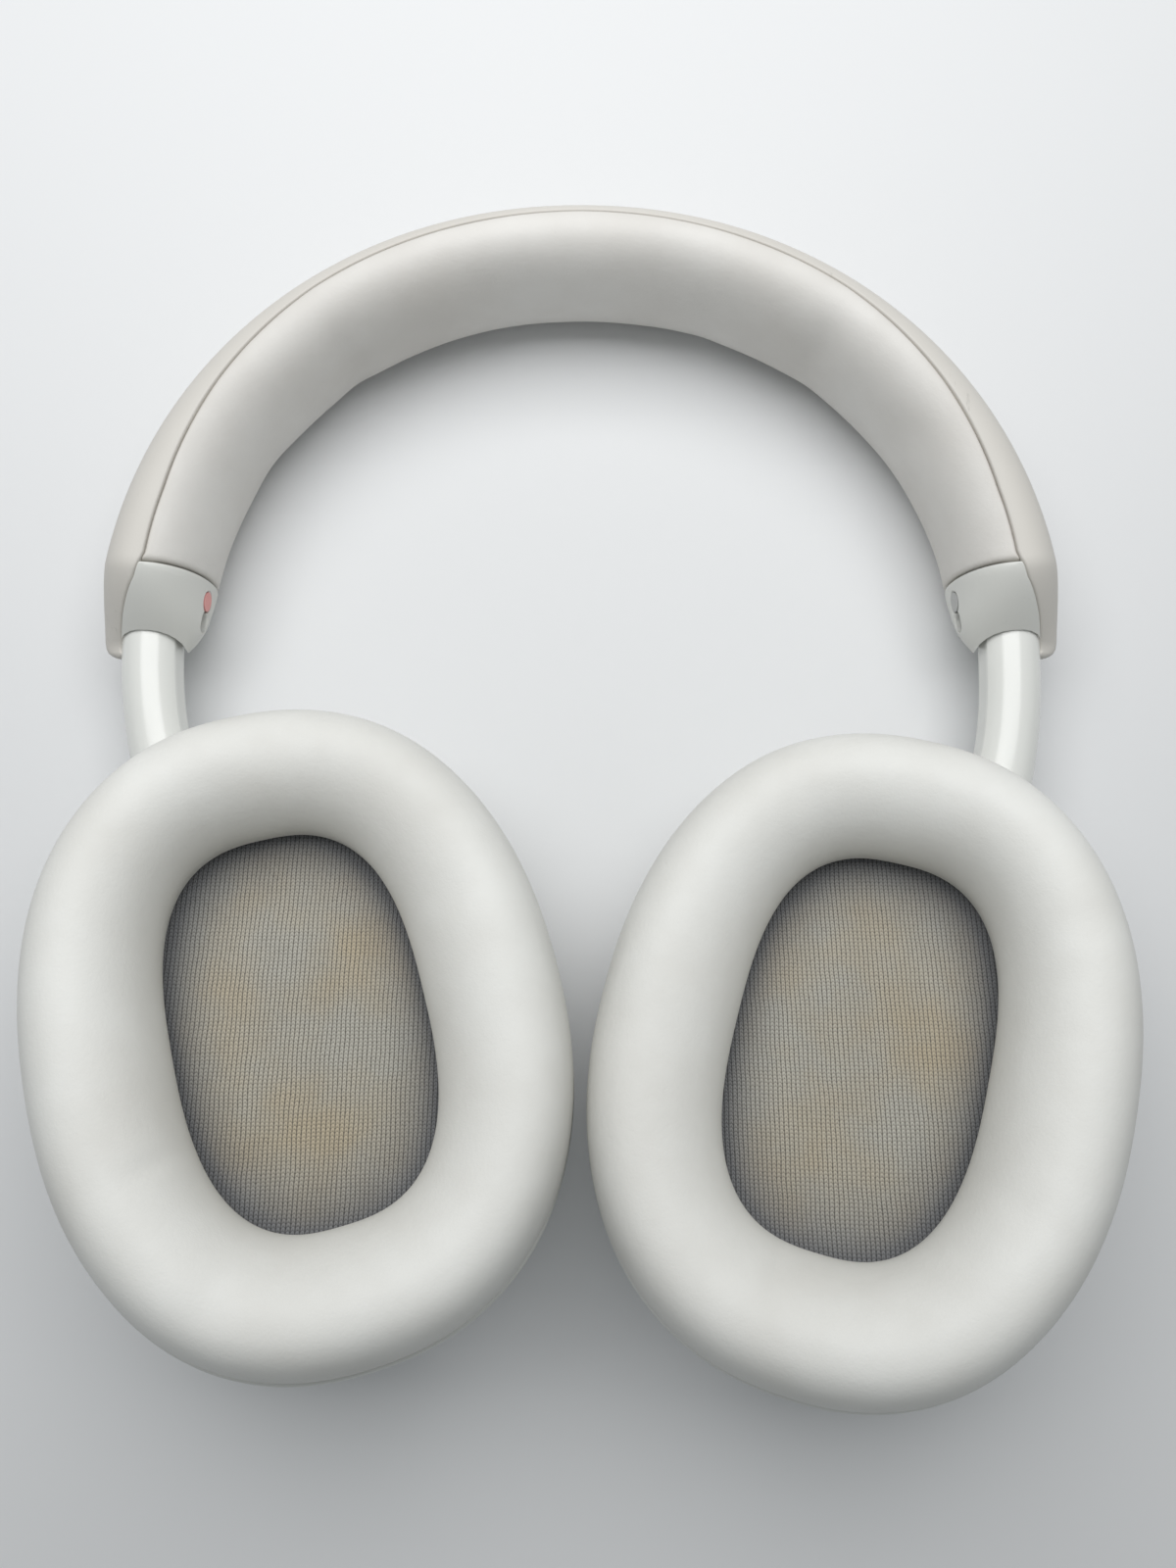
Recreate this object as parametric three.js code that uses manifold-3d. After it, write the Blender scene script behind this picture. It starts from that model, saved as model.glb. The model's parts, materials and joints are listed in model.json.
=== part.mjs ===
// Over-ear wireless headphones lying flat on a table with the ear pads up.
// Millimetres. X runs across the head, Y towards the crown of the headband, Z up from the table.
// Sides are named as worn: the right ear is at -X and the left ear at +X.
// Each side is built as a left side (+X) and mirrored for the right.
import * as THREE from "three";
import { mergeVertices } from "three/addons/utils/BufferGeometryUtils.js";
import Module from "manifold-3d";

const wasm = await Module();
wasm.setup();

// ---- Driving dimensions ----------------------------------------------------------------------

// Headband arch: a superellipse seen from above, measured on the centre of the band.
const ARCH_HALF_SPAN = 74.1;
const ARCH_RISE = 70.4;
const ARCH_SQUARENESS = 2.06;
const BAND_WIDTH = 28;
const BAND_THICKNESS = 16.4;
const BAND_THICKNESS_CROWN = 14;
const BAND_BULGE = 0.6;
const BAND_ROUNDNESS = 2.1;
const COVER_WALL = 1.4;
const FRAME_WIDTH = 19;
const FRAME_WALL = 2;
const SPRING_WIDTH = 14;
const SPRING_WALL = 1.2;
const WIRE_DIAMETER = 1.6;

// Slider housing (sleeve) at each end of the arch, and the stem that slides in it.
const SLEEVE_TOP = 12.6;
const SLEEVE_BOTTOM = -0.9;
const SLEEVE_CORE_TOP = 30.5;
const SLEEVE_END_LENGTH = 9.5;
const SLEEVE_END_INNER_LOSS = 3.8;
const SLEEVE_END_WIDTH_LOSS = 15;
const SLEEVE_END_WIDTH = 10;
const STEM_DIAMETER = 10.2;
const STEM_BORE = 5;
const STEM_TOP = 28;
const STEM_END_ANGLE = 16.8;
const SLIDE_TRAVEL = 20;
const LEFT_REST_EXTENSION = 3.8;
const SHOE_BOTTOM = 5.2;
const SHOE_WALL = 1.4;
const STOP_HEIGHT = 1.6;
const MOUTH_TOP = 3.6;

// Swivel and tilt joint between the stem and the ear cup.
const SWIVEL_LEAN = 10;
const BALL_RADIUS = 11;
const BALL_WALL = 1.8;
const SHAFT_DIAMETER = 4.6;
const SHAFT_NECK = 6;
const YOKE_HALF = new THREE.Vector3(4.1, 4.8, 3.6);
const PIN_DIAMETER = 2.6;
const EAR_WALL = 2.2;
const EAR_RADIUS = 3;
const TILT_OUT = 2;
const TILT_IN = 16;

// Ear cup: attitude at rest, and place of its base plane's centre from the pivot.
const CUP_LEAN = 16;
const CUP_PITCH = 11.3;
const CUP_DROOP = 12.3;
const CUP_INSET = 25.7;
const CUP_DROP = 29.4;
const CUP_LIFT = 14.8;

// Ear cup: outlines are superellipses in the base plane.
const CUP_ROUNDNESS = 2.23;
const SHELL_HALF = [40, 50.8];
const SHELL_DEPTH = 22.9;
const SHELL_DOME_POWER = 3;
const SHELL_WALL = 2;
const PAD_HALF = [38.6, 49.2];
const PAD_HEIGHT = 20.2;
const OPENING_HALF = [18.9, 30];
const OPENING_ROUNDNESS = 2.67;
const OPENING_SHIFT = 0.6;
const BAFFLE_WALL = 2;
const PAD_RING_WALL = 1.4;
const PAD_RING_INSET = 2.4;
const FABRIC_MARGIN = 3.5;
const FABRIC_WALL = 1.2;

// Loudspeaker and electronics.
const DRIVER_RADIUS = 20;
const BASKET_RADIUS = 21.5;
const BASKET_DEPTH = 3.7;
const MAGNET_RADIUS = 12;
const MAGNET_DEPTH = 3.6;
const BOARD_SIZE = [40, 42, 1];
const BATTERY_SIZE = [34, 22, 4.4];
const BUTTON_SIZE = [9, 4];
const BUTTON_TRAVEL = 0.6;
const JACK_RADIUS = 3;
const JACK_BORE_RADIUS = 1.75;
const PORT_SIZE = [8.9, 3.2];
const PORT_WALL = 0.6;

// Clearances.
const GAP = 0.3;
const SLIDE_GAP = 0.3;
const BALL_GAP = 0.6;
const SWING_GAP = 0.9;

// ---- Materials -------------------------------------------------------------------------------

function finish(colour, roughness, metalness = 0) {
  return new THREE.MeshStandardMaterial({ color: colour, roughness, metalness });
}
const shellPlastic = finish("#dadbd6", 0.5);
const stemPlastic = finish("#e5e6e1", 0.25);
const coverPlastic = finish("#cfccc6", 0.65);
const padLeather = finish("#dededa", 0.6);
const bandLeather = finish("#dcdad6", 0.6);
const knit = finish("#8f8d88", 0.95);
const innerPlastic = finish("#3a3b3d", 0.6);
const steel = finish("#b9bbbd", 0.35, 1);
const springSteel = finish("#8e9196", 0.4, 1);
const blackMesh = finish("#1c1c1e", 0.8);
const boardGreen = finish("#27523c", 0.55);
const batteryFoil = finish("#aeb2b6", 0.4, 0.6);
const wireRubber = finish("#2a2a2c", 0.7);
const redMark = finish("#e3a3a0", 0.5);
const greyMark = finish("#b4b5b4", 0.5);
const lampLens = finish("#f4f4f0", 0.2);

// ---- Solids ----------------------------------------------------------------------------------

function toSolid(geometry) {
  const bare = geometry.clone();
  bare.deleteAttribute("normal");
  bare.deleteAttribute("uv");
  const merged = mergeVertices(bare, 1e-4);
  const solid = new wasm.Manifold(new wasm.Mesh({
    numProp: 3,
    vertProperties: merged.attributes.position.array,
    triVerts: new Uint32Array(merged.index.array),
  }));
  return solid;
}

function toGeometry(solid) {
  const mesh = solid.getMesh();
  const geometry = new THREE.BufferGeometry();
  geometry.setAttribute("position", new THREE.BufferAttribute(new Float32Array(mesh.vertProperties), 3));
  geometry.setIndex(new THREE.BufferAttribute(new Uint32Array(mesh.triVerts), 1));
  geometry.computeVertexNormals();
  return geometry;
}

// Joins the first solid with the rest.
function join(first, ...rest) {
  return rest.reduce((whole, piece) => whole.add(piece), first);
}

// Cuts every later solid out of the first.
function cut(first, ...rest) {
  return rest.reduce((whole, piece) => whole.subtract(piece), first);
}

// A closed surface through rings of equal point counts; the ends are capped unless the path closes.
// With mirror set, the second half of the path is split into triangles as a mirror image of the first.
function loft(rings, closed = false, mirror = false) {
  const count = rings[0].length;
  const positions = rings.flat().flatMap((point) => [point.x, point.y, point.z]);
  const index = [];
  const spans = closed ? rings.length : rings.length - 1;
  for (let i = 0; i < spans; i++) {
    const here = i * count;
    const next = ((i + 1) % rings.length) * count;
    for (let k = 0; k < count; k++) {
      const l = (k + 1) % count;
      if (mirror && i >= spans / 2) index.push(here + k, here + l, next + k, here + l, next + l, next + k);
      else index.push(here + k, here + l, next + l, here + k, next + l, next + k);
    }
  }
  if (!closed) {
    capRing(rings[0], 0, index, true);
    capRing(rings[rings.length - 1], (rings.length - 1) * count, index, false);
  }
  if (signedVolume(positions, index) < 0) {
    for (let i = 0; i < index.length; i += 3) [index[i + 1], index[i + 2]] = [index[i + 2], index[i + 1]];
  }
  const geometry = new THREE.BufferGeometry();
  geometry.setAttribute("position", new THREE.Float32BufferAttribute(positions, 3));
  geometry.setIndex(index);
  return geometry;
}

// Fills a flat ring with triangles; flip gives the cap that faces against the path.
function capRing(ring, offset, index, flip) {
  const normal = ringNormal(ring);
  const across = ring[1].clone().sub(ring[0]).normalize();
  const up = normal.clone().cross(across);
  const flat = ring.map((point) => new THREE.Vector2(point.dot(across), point.dot(up)));
  for (const [a, b, c] of THREE.ShapeUtils.triangulateShape(flat, [])) {
    if (flip) index.push(offset + a, offset + c, offset + b);
    else index.push(offset + a, offset + b, offset + c);
  }
}

function ringNormal(ring) {
  const normal = new THREE.Vector3();
  ring.forEach((point, i) => normal.add(point.clone().cross(ring[(i + 1) % ring.length])));
  return normal.normalize();
}

function signedVolume(positions, index) {
  const corner = (i) => new THREE.Vector3().fromArray(positions, 3 * index[i]);
  let six = 0;
  for (let i = 0; i < index.length; i += 3) six += corner(i).dot(corner(i + 1).cross(corner(i + 2)));
  return six;
}

// A rod with rounded ends (a stadium) seen along Y: width along X, height along Z, from y0 to y1.
function stadiumBar(width, height, y0, y1, segments = 8) {
  const radius = Math.min(width, height) / 2;
  const shape = new THREE.Shape();
  const tall = height > width;
  const run = Math.abs(height - width) / 2;
  const a = tall ? Math.PI : Math.PI / 2;
  const first = tall ? [0, -run] : [-run, 0];
  const second = tall ? [0, run] : [run, 0];
  shape.absarc(first[0], first[1], radius, a, a + Math.PI, false);
  shape.absarc(second[0], second[1], radius, a + Math.PI, a + 2 * Math.PI, false);
  const settings = { depth: y1 - y0, bevelEnabled: false, curveSegments: segments };
  const bar = new THREE.ExtrudeGeometry(shape, settings);
  // The extrusion runs along its own Z: turn it to run along Y.
  bar.rotateX(-Math.PI / 2);
  bar.rotateZ(Math.PI);
  bar.rotateX(Math.PI);
  bar.computeBoundingBox();
  bar.translate(0, y0 - bar.boundingBox.min.y, 0);
  return bar;
}

function box(width, depth, height, x = 0, y = 0, z = 0) {
  return new THREE.BoxGeometry(width, depth, height).translate(x, y, z);
}

// A cylinder along Y from y0 to y1.
function rodY(radius, y0, y1, segments = 20) {
  return new THREE.CylinderGeometry(radius, radius, y1 - y0, segments).translate(0, (y0 + y1) / 2, 0);
}

// A cylinder along X from x0 to x1.
function rodX(radius, x0, x1, segments = 16) {
  const rod = new THREE.CylinderGeometry(radius, radius, x1 - x0, segments).rotateZ(Math.PI / 2);
  return rod.translate((x0 + x1) / 2, 0, 0);
}

// A cylinder along Z from z0 to z1.
function rodZ(radius, z0, z1, segments = 24) {
  const rod = new THREE.CylinderGeometry(radius, radius, z1 - z0, segments).rotateX(Math.PI / 2);
  return rod.translate(0, 0, (z0 + z1) / 2);
}

function ball(radius, segments = 22) {
  return new THREE.SphereGeometry(radius, segments, segments / 2);
}

const radians = THREE.MathUtils.degToRad;

// ---- Headband arch ---------------------------------------------------------------------------

// Centre of the band at a polar angle from +X, with the outward direction and the local thickness.
function archPoint(degrees) {
  const angle = radians(degrees);
  const radius = (
    Math.abs(Math.cos(angle) / ARCH_HALF_SPAN) ** ARCH_SQUARENESS
    + Math.abs(Math.sin(angle) / ARCH_RISE) ** ARCH_SQUARENESS
  ) ** (-1 / ARCH_SQUARENESS);
  return new THREE.Vector3(radius * Math.cos(angle), radius * Math.sin(angle), 0);
}

function archStation(degrees) {
  const step = 0.05;
  const along = archPoint(degrees + step).sub(archPoint(degrees - step)).normalize();
  const outward = along.clone().cross(new THREE.Vector3(0, 0, 1));
  const crown = Math.abs(Math.sin(radians(degrees)));
  return {
    centre: archPoint(degrees),
    outward,
    thickness: THREE.MathUtils.lerp(BAND_THICKNESS, BAND_THICKNESS_CROWN, crown),
  };
}

// Polar angle at which the band's centre is at a height above the sleeves' mouths.
function archAngle(height) {
  let low = -20;
  let high = 90;
  for (let i = 0; i < 40; i++) {
    const middle = (low + high) / 2;
    if (archPoint(middle).y < height) low = middle;
    else high = middle;
  }
  return low;
}

// Half sizes of the band's section: out and in from its centre, and up. The sleeves' ends are rounded off.
function sectionSize(degrees) {
  const fromSide = Math.max(Math.min(degrees, 180 - degrees), SLEEVE_BOTTOM_ANGLE);
  const reach = THREE.MathUtils.clamp((archPoint(fromSide).y - SLEEVE_BOTTOM) / SLEEVE_END_LENGTH, 0, 1);
  const loss = (1 - reach) ** 1.8;
  const half = archStation(degrees).thickness / 2;
  return {
    outer: half,
    inner: half + BAND_BULGE - SLEEVE_END_INNER_LOSS * loss,
    up: Math.max(BAND_WIDTH / 2 - SLEEVE_END_WIDTH_LOSS * loss, SLEEVE_END_WIDTH / 2),
  };
}

// A point of the band's section: turn 0 is the outer face, 90 the upper side.
function sectionPoint(turn, size, inset = 0) {
  const power = 2 / BAND_ROUNDNESS;
  const c = Math.cos(radians(turn));
  const s = Math.sin(radians(turn));
  const out = Math.sign(c) * ((c > 0 ? size.outer : size.inner) - inset) * Math.abs(c) ** power;
  return [out, Math.sign(s) * (size.up - inset) * Math.abs(s) ** power];
}

const SECTION_COUNT = 20;

function fullSection(degrees) {
  const turns = Array.from({ length: SECTION_COUNT }, (_, k) => (360 * k) / SECTION_COUNT);
  return turns.map((turn) => sectionPoint(turn, sectionSize(degrees)));
}

// Half angle of the section that the cover wraps, against the angle up from the sleeves.
const COVER_REACH = [[0, 52], [4, 70], [8, 92], [11, 101], [20, 99], [36, 88], [53, 78], [90, 72]];

function coverTurn(degrees) {
  const fromSide = Math.min(degrees, 180 - degrees);
  const next = Math.max(COVER_REACH.findIndex(([angle]) => angle >= fromSide), 1);
  const [lowAngle, low] = COVER_REACH[next - 1];
  const [highAngle, high] = COVER_REACH[next];
  const share = THREE.MathUtils.clamp((fromSide - lowAngle) / (highAngle - lowAngle), 0, 1);
  return THREE.MathUtils.lerp(low, high, share);
}

function coverSection(degrees, outerInset, innerInset, extraTurn = 0) {
  const half = coverTurn(degrees) + extraTurn;
  const size = sectionSize(degrees);
  const steps = 8;
  const outer = [];
  const inner = [];
  for (let k = 0; k <= steps; k++) {
    const turn = -half + (2 * half * k) / steps;
    outer.push(sectionPoint(turn, size, outerInset));
    inner.push(sectionPoint(turn, size, innerInset));
  }
  return outer.concat(inner.reverse());
}

// Polar angles of the rings that every swept piece shares, so that faces that meet are cut alike.
function sharedStations(from, to) {
  const ends = [0, 0.7, 2, 3.8, 6, 9].map((step) => SLEEVE_BOTTOM_ANGLE + step);
  const middle = Array.from({ length: 24 }, (_, k) => (
    SLEEVE_TOP_ANGLE + ((180 - 2 * SLEEVE_TOP_ANGLE) * k) / 23
  ));
  const all = ends.concat(middle, ends.map((angle) => 180 - angle).reverse());
  const between = all.filter((angle) => angle > from + 0.2 && angle < to - 0.2);
  return [from, ...between, to];
}

// Sweeps a section, given as a function of the polar angle, along the arch.
function sweepArch(from, to, section) {
  const rings = sharedStations(from, to).map((degrees) => {
    const station = archStation(degrees);
    return section(degrees, station.thickness).map(([out, up]) => (
      station.centre.clone().addScaledVector(station.outward, out).setZ(up)
    ));
  });
  return loft(rings, false, Math.abs(from + to - 180) < 1);
}

function rectangle(outLow, outHigh, half) {
  return [[outLow, -half], [outHigh, -half], [outHigh, half], [outLow, half]];
}

const SLEEVE_TOP_ANGLE = archAngle(SLEEVE_TOP);
const SLEEVE_BOTTOM_ANGLE = archAngle(SLEEVE_BOTTOM);
const CORE_TOP_ANGLE = archAngle(SLEEVE_CORE_TOP);
// Half sizes of a sleeve's core: in, out and up from the middle of the band.
const CORE_HALF = [6, 4.2, 8.6];
const CHANNEL_DEPTH = 3.4;

// The room that the cover takes, a little larger than the cover itself; reach is how far out it goes.
function coverRoom(reach = 3, clearance = GAP) {
  const from = SLEEVE_BOTTOM_ANGLE - 3;
  return toSolid(sweepArch(from, 180 - from, (degrees) => (
    coverSection(degrees, -reach, COVER_WALL + clearance, 3)
  )));
}

// The cover's tips stay clear of the stems.
function headbandCover() {
  const from = SLEEVE_BOTTOM_ANGLE;
  const skin = toSolid(sweepArch(from, 180 - from, (degrees) => coverSection(degrees, 0, COVER_WALL)));
  const stems = [1, -1].map((side) => mirrored(stemBar(GAP, MOUTH_TOP), side));
  return toGeometry(cut(skin, ...stems));
}

// The cushion is hollow: the sleeves' cores fill its ends, and the frame and the spring lie between them.
function headbandCushion() {
  const from = SLEEVE_TOP_ANGLE - 3;
  const body = toSolid(sweepArch(from, 180 - from, fullSection));
  const below = toSolid(box(4 * ARCH_HALF_SPAN, 40, 2 * BAND_WIDTH, 0, SLEEVE_TOP + GAP - 20, 0));
  const ends = [1, -1].map((side) => (
    mirrored(toSolid(sleeveCore(GAP, SLEEVE_TOP_ANGLE - 4, CORE_TOP_ANGLE + 0.3, BAND_THICKNESS)), side)
  ));
  const channelFrom = CORE_TOP_ANGLE - 0.5;
  const channel = toSolid(sweepArch(channelFrom, 180 - channelFrom, () => (
    rectangle(-CHANNEL_DEPTH, BAND_THICKNESS, FRAME_WIDTH / 2 + GAP)
  )));
  return toGeometry(cut(body, below, coverRoom(), channel, ...ends));
}

function headbandFrame() {
  const from = CORE_TOP_ANGLE + 0.6;
  const low = -CHANNEL_DEPTH + GAP;
  return sweepArch(from, 180 - from, () => rectangle(low, low + FRAME_WALL, FRAME_WIDTH / 2));
}

function headbandSpring() {
  const from = CORE_TOP_ANGLE + 0.6;
  const low = -CHANNEL_DEPTH + GAP + FRAME_WALL + GAP;
  return sweepArch(from, 180 - from, () => rectangle(low, low + SPRING_WALL, SPRING_WIDTH / 2));
}

// The wire that joins the two ear cups lies on the spring, under the cover.
function headbandWire() {
  const from = CORE_TOP_ANGLE + 1.2;
  const out = -CHANNEL_DEPTH + FRAME_WALL + SPRING_WALL + 3 * GAP + WIRE_DIAMETER / 2;
  const sides = 8;
  return sweepArch(from, 180 - from, () => (
    Array.from({ length: sides }, (_, k) => {
      const turn = radians((k + 0.5) * (360 / sides));
      return [out + (WIRE_DIAMETER / 2) * Math.cos(turn), 3 + (WIRE_DIAMETER / 2) * Math.sin(turn)];
    })
  ));
}

// ---- Sleeve and stem, built for the left side ------------------------------------------------

function mirrored(solid, side) {
  return side > 0 ? solid : solid.mirror([1, 0, 0]);
}

// The core is open outwards, where the cover closes it; reach is how far its room extends that way.
function sleeveCore(extra, from, to, reach = CORE_HALF[1]) {
  return sweepArch(from, to, () => {
    const [inHalf, outHalf, upHalf] = [CORE_HALF[0], reach, CORE_HALF[2]].map((half) => half + extra);
    const corner = 2;
    return [
      [-inHalf + corner, -upHalf], [outHalf, -upHalf], [outHalf, upHalf],
      [-inHalf + corner, upHalf], [-inHalf, upHalf - corner], [-inHalf, -upHalf + corner],
    ];
  });
}

// How far from the middle the cover's inner face lies at a height above the mouths.
function underCover(height) {
  let low = SLEEVE_TOP_ANGLE;
  let high = 90;
  const place = (degrees) => {
    const station = archStation(degrees);
    const out = station.thickness / 2 - COVER_WALL;
    return station.centre.clone().addScaledVector(station.outward, out);
  };
  for (let i = 0; i < 40; i++) {
    const middle = (low + high) / 2;
    if (place(middle).y < height) low = middle;
    else high = middle;
  }
  return place(low).x;
}

// A straight bar where the stem slides, up to a height, wider than the stem by extra all round.
function stemBar(extra, top) {
  return toSolid(rodY(STEM_DIAMETER / 2 + extra, -12, top, 24).translate(ARCH_HALF_SPAN, 0, 0));
}

// The outer side of the stem is relieved where it would meet the cover when it is fully in.
function stemRelief(extra) {
  return coverRoom(STEM_DIAMETER, GAP - extra);
}

function stemRoom(extra, top) {
  return cut(stemBar(extra, top), stemRelief(extra));
}

const SHOE_ARC = [218, 305];
const SHOE_ROOM_TURN = 3;

// The shoe lies under the stem, on the side of the sleeve that rests on the table.
function shoeSector(inner, outer, low, high, extraTurn = 0) {
  const from = radians(SHOE_ARC[0] - extraTurn);
  const to = radians(SHOE_ARC[1] + extraTurn);
  const shape = new THREE.Shape();
  shape.absarc(0, 0, outer, from, to, false);
  shape.absarc(0, 0, inner, to, from, true);
  const settings = { depth: high - low, bevelEnabled: false, curveSegments: 7 };
  const shoe = new THREE.ExtrudeGeometry(shape, settings);
  shoe.rotateX(Math.PI / 2);
  return shoe.translate(ARCH_HALF_SPAN, high, 0);
}

const SHOE_INNER = STEM_DIAMETER / 2 + GAP;
const SHOE_TOP = STEM_TOP - SLIDE_TRAVEL;

function slideShoe() {
  return shoeSector(SHOE_INNER, SHOE_INNER + SHOE_WALL, SHOE_BOTTOM, SHOE_TOP);
}

const STOP_REACH = STEM_DIAMETER / 2 + SHOE_WALL;
const STOP_WIDTH = 3.8;
const STOP_CLEARANCE = 1.4;
const STOP_X = underCover(STEM_TOP + GAP + STOP_HEIGHT) - STOP_CLEARANCE - STOP_WIDTH / 2;
const STOP_TALL = STOP_REACH + 3;
const STOP_Z = 3 - STOP_TALL / 2;

// Stop plate on the stem's top end: its tab runs in the keyway and meets the shoe at full reach.
function stemStop() {
  return box(STOP_WIDTH, STOP_HEIGHT, STOP_TALL, STOP_X, STEM_TOP + GAP + STOP_HEIGHT / 2, STOP_Z);
}

const MARK_HEIGHT = 10.2;
const MARK_RADIUS = 1.7;
const MARK_DEPTH = 0.8;
const SCREW_HEIGHT = 6.2;
const SCREW_DEPTH = 1.2;

// Matrix that puts a piece built along +X onto the sleeve's inner face, pointing away from the arch.
function innerFace(height, depth) {
  const station = archStation(archAngle(height));
  const inward = station.outward.clone().negate();
  const side = new THREE.Vector3(0, 0, 1);
  const place = new THREE.Matrix4().makeBasis(inward, side.clone().cross(inward), side);
  const reach = sectionSize(archAngle(height)).inner - depth;
  return place.setPosition(station.centre.clone().addScaledVector(inward, reach));
}

function sideMark() {
  return rodX(MARK_RADIUS, GAP, MARK_DEPTH, 20).applyMatrix4(innerFace(MARK_HEIGHT, MARK_DEPTH));
}

function sleeveScrew() {
  const head = toSolid(rodX(1.1, -0.25, 0.3, 12));
  const thread = toSolid(rodX(0.6, -0.8, -0.2, 8));
  const drive = toSolid(rodX(0.45, 0, 1, 6));
  return toGeometry(cut(join(head, thread), drive)).applyMatrix4(innerFace(SCREW_HEIGHT, SCREW_DEPTH));
}

// The mouth leaves more room on the stem's inner side.
const MOUTH_OUT = STEM_DIAMETER / 2 + 0.45;
const MOUTH_IN = STEM_DIAMETER / 2 + 1;

function sleeve() {
  const outer = toSolid(sweepArch(SLEEVE_BOTTOM_ANGLE, SLEEVE_TOP_ANGLE + 3, fullSection));
  const above = toSolid(box(4 * ARCH_HALF_SPAN, 40, 2 * BAND_WIDTH, 0, SLEEVE_TOP + 20, 0));
  const core = toSolid(sleeveCore(0, SLEEVE_TOP_ANGLE - 4, CORE_TOP_ANGLE));
  const shoeRoom = toSolid(
    shoeSector(SHOE_INNER - 1, SHOE_INNER + SHOE_WALL + GAP, SHOE_BOTTOM - GAP, SHOE_TOP + GAP, SHOE_ROOM_TURN),
  );
  const keyway = toSolid(
    box(STOP_WIDTH + 2 * SLIDE_GAP, 40, STOP_TALL + 2 * SLIDE_GAP, STOP_X, SHOE_TOP + 20, STOP_Z),
  );
  const mouth = toSolid(stadiumBar(MOUTH_IN + MOUTH_OUT, 2 * MOUTH_OUT, -6, MOUTH_TOP)
    .translate(ARCH_HALF_SPAN + (MOUTH_OUT - MOUTH_IN) / 2, 0, 0));
  const markPlace = innerFace(MARK_HEIGHT, MARK_DEPTH);
  const screwPlace = innerFace(SCREW_HEIGHT, SCREW_DEPTH);
  const markRoom = toSolid(rodX(MARK_RADIUS + 0.2, 0, 4, 20).applyMatrix4(markPlace));
  const screwRoom = toSolid(stadiumBarX(3.6, 2.8, -0.5, 4).applyMatrix4(screwPlace));
  const threadRoom = toSolid(rodX(0.9, -3, 0.5, 8).applyMatrix4(screwPlace));
  const channel = stemRoom(SLIDE_GAP, STEM_TOP + SLIDE_GAP);
  const rooms = [coverRoom(), channel, shoeRoom, keyway, mouth, markRoom, screwRoom, threadRoom];
  return toGeometry(cut(join(cut(outer, above), core), ...rooms));
}

// A stadium bar along X, from x0 to x1; across is its size along Y and up its size along Z.
function stadiumBarX(across, up, x0, x1) {
  return stadiumBar(across, up, x0, x1, 6).rotateZ(-Math.PI / 2);
}

// Lower end of the stem's centre line, and the swivel axis through it, in the band's frame.
const STEM_END = new THREE.Vector3(
  ARCH_HALF_SPAN * Math.cos(radians(STEM_END_ANGLE)),
  -ARCH_HALF_SPAN * Math.sin(radians(STEM_END_ANGLE)),
  0,
);
const LEAN = radians(SWIVEL_LEAN);
const SWIVEL_DOWN = new THREE.Vector3(-Math.sin(LEAN), -Math.cos(LEAN), 0);
const PIVOT = STEM_END.clone().addScaledVector(SWIVEL_DOWN, BALL_RADIUS + BALL_GAP);

// Along +Y of this frame lies the swivel axis, from the pivot up to the stem.
function swivelFrame() {
  const up = SWIVEL_DOWN.clone().negate();
  const z = new THREE.Vector3(0, 0, 1);
  return new THREE.Matrix4().makeBasis(up.clone().cross(z), up, z).setPosition(PIVOT);
}

// The stem: straight where it slides, then an arc that meets the ball on the ear cup.
function stemRing(radius, degrees, sides) {
  const turned = radians(degrees);
  const centre = new THREE.Vector3(ARCH_HALF_SPAN * Math.cos(turned), -ARCH_HALF_SPAN * Math.sin(turned), 0);
  const outward = new THREE.Vector3(Math.cos(turned), -Math.sin(turned), 0);
  return Array.from({ length: sides }, (_, k) => {
    const around = radians((360 * (k + 0.5)) / sides);
    const point = centre.clone().addScaledVector(outward, radius * Math.cos(around));
    return point.setZ(radius * Math.sin(around));
  });
}

function stemArc(radius, sides, top, overrun) {
  const rings = [0, 4, 8, 12, STEM_END_ANGLE + overrun].map((degrees) => stemRing(radius, degrees, sides));
  const straight = rings[0].map((point) => point.clone().setY(top));
  return toSolid(loft([straight, ...rings]));
}

function stem() {
  const body = stemArc(STEM_DIAMETER / 2, 20, STEM_TOP, 3);
  const bore = stemArc(STEM_BORE / 2, 8, STEM_TOP + 2, 8);
  const cup = toSolid(ball(BALL_RADIUS + BALL_GAP).translate(PIVOT.x, PIVOT.y, 0));
  const shaft = rodY(SHAFT_NECK / 2 + GAP, BALL_RADIUS, BALL_RADIUS + 8, 16);
  const shaftRoom = toSolid(shaft.applyMatrix4(swivelFrame()));
  return toGeometry(cut(body, bore, stemRelief(0), cup, shaftRoom));
}

const YOKE_BORE = SHAFT_DIAMETER / 2 + GAP;
const WASHER_WALL = 0.6;

// Steel shaft: its thick neck sits in the stem, and the yoke turns on its thin end.
function swivelShaft() {
  const shoulder = YOKE_HALF.y + WASHER_WALL + 2 * GAP;
  const neck = toSolid(rodY(SHAFT_NECK / 2, shoulder, BALL_RADIUS + 7, 16));
  const spindle = toSolid(rodY(SHAFT_DIAMETER / 2, -YOKE_HALF.y - 0.2, shoulder + 1, 16));
  const tapped = toSolid(rodY(0.9, -YOKE_HALF.y - 2, -1, 8));
  return toGeometry(cut(join(neck, spindle), tapped));
}

function frictionWasher() {
  const ring = toSolid(rodY(SHAFT_NECK / 2 + 0.5, YOKE_HALF.y + GAP, YOKE_HALF.y + GAP + WASHER_WALL, 16));
  return toGeometry(cut(ring, toSolid(rodY(YOKE_BORE, 0, 10, 16))));
}

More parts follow.
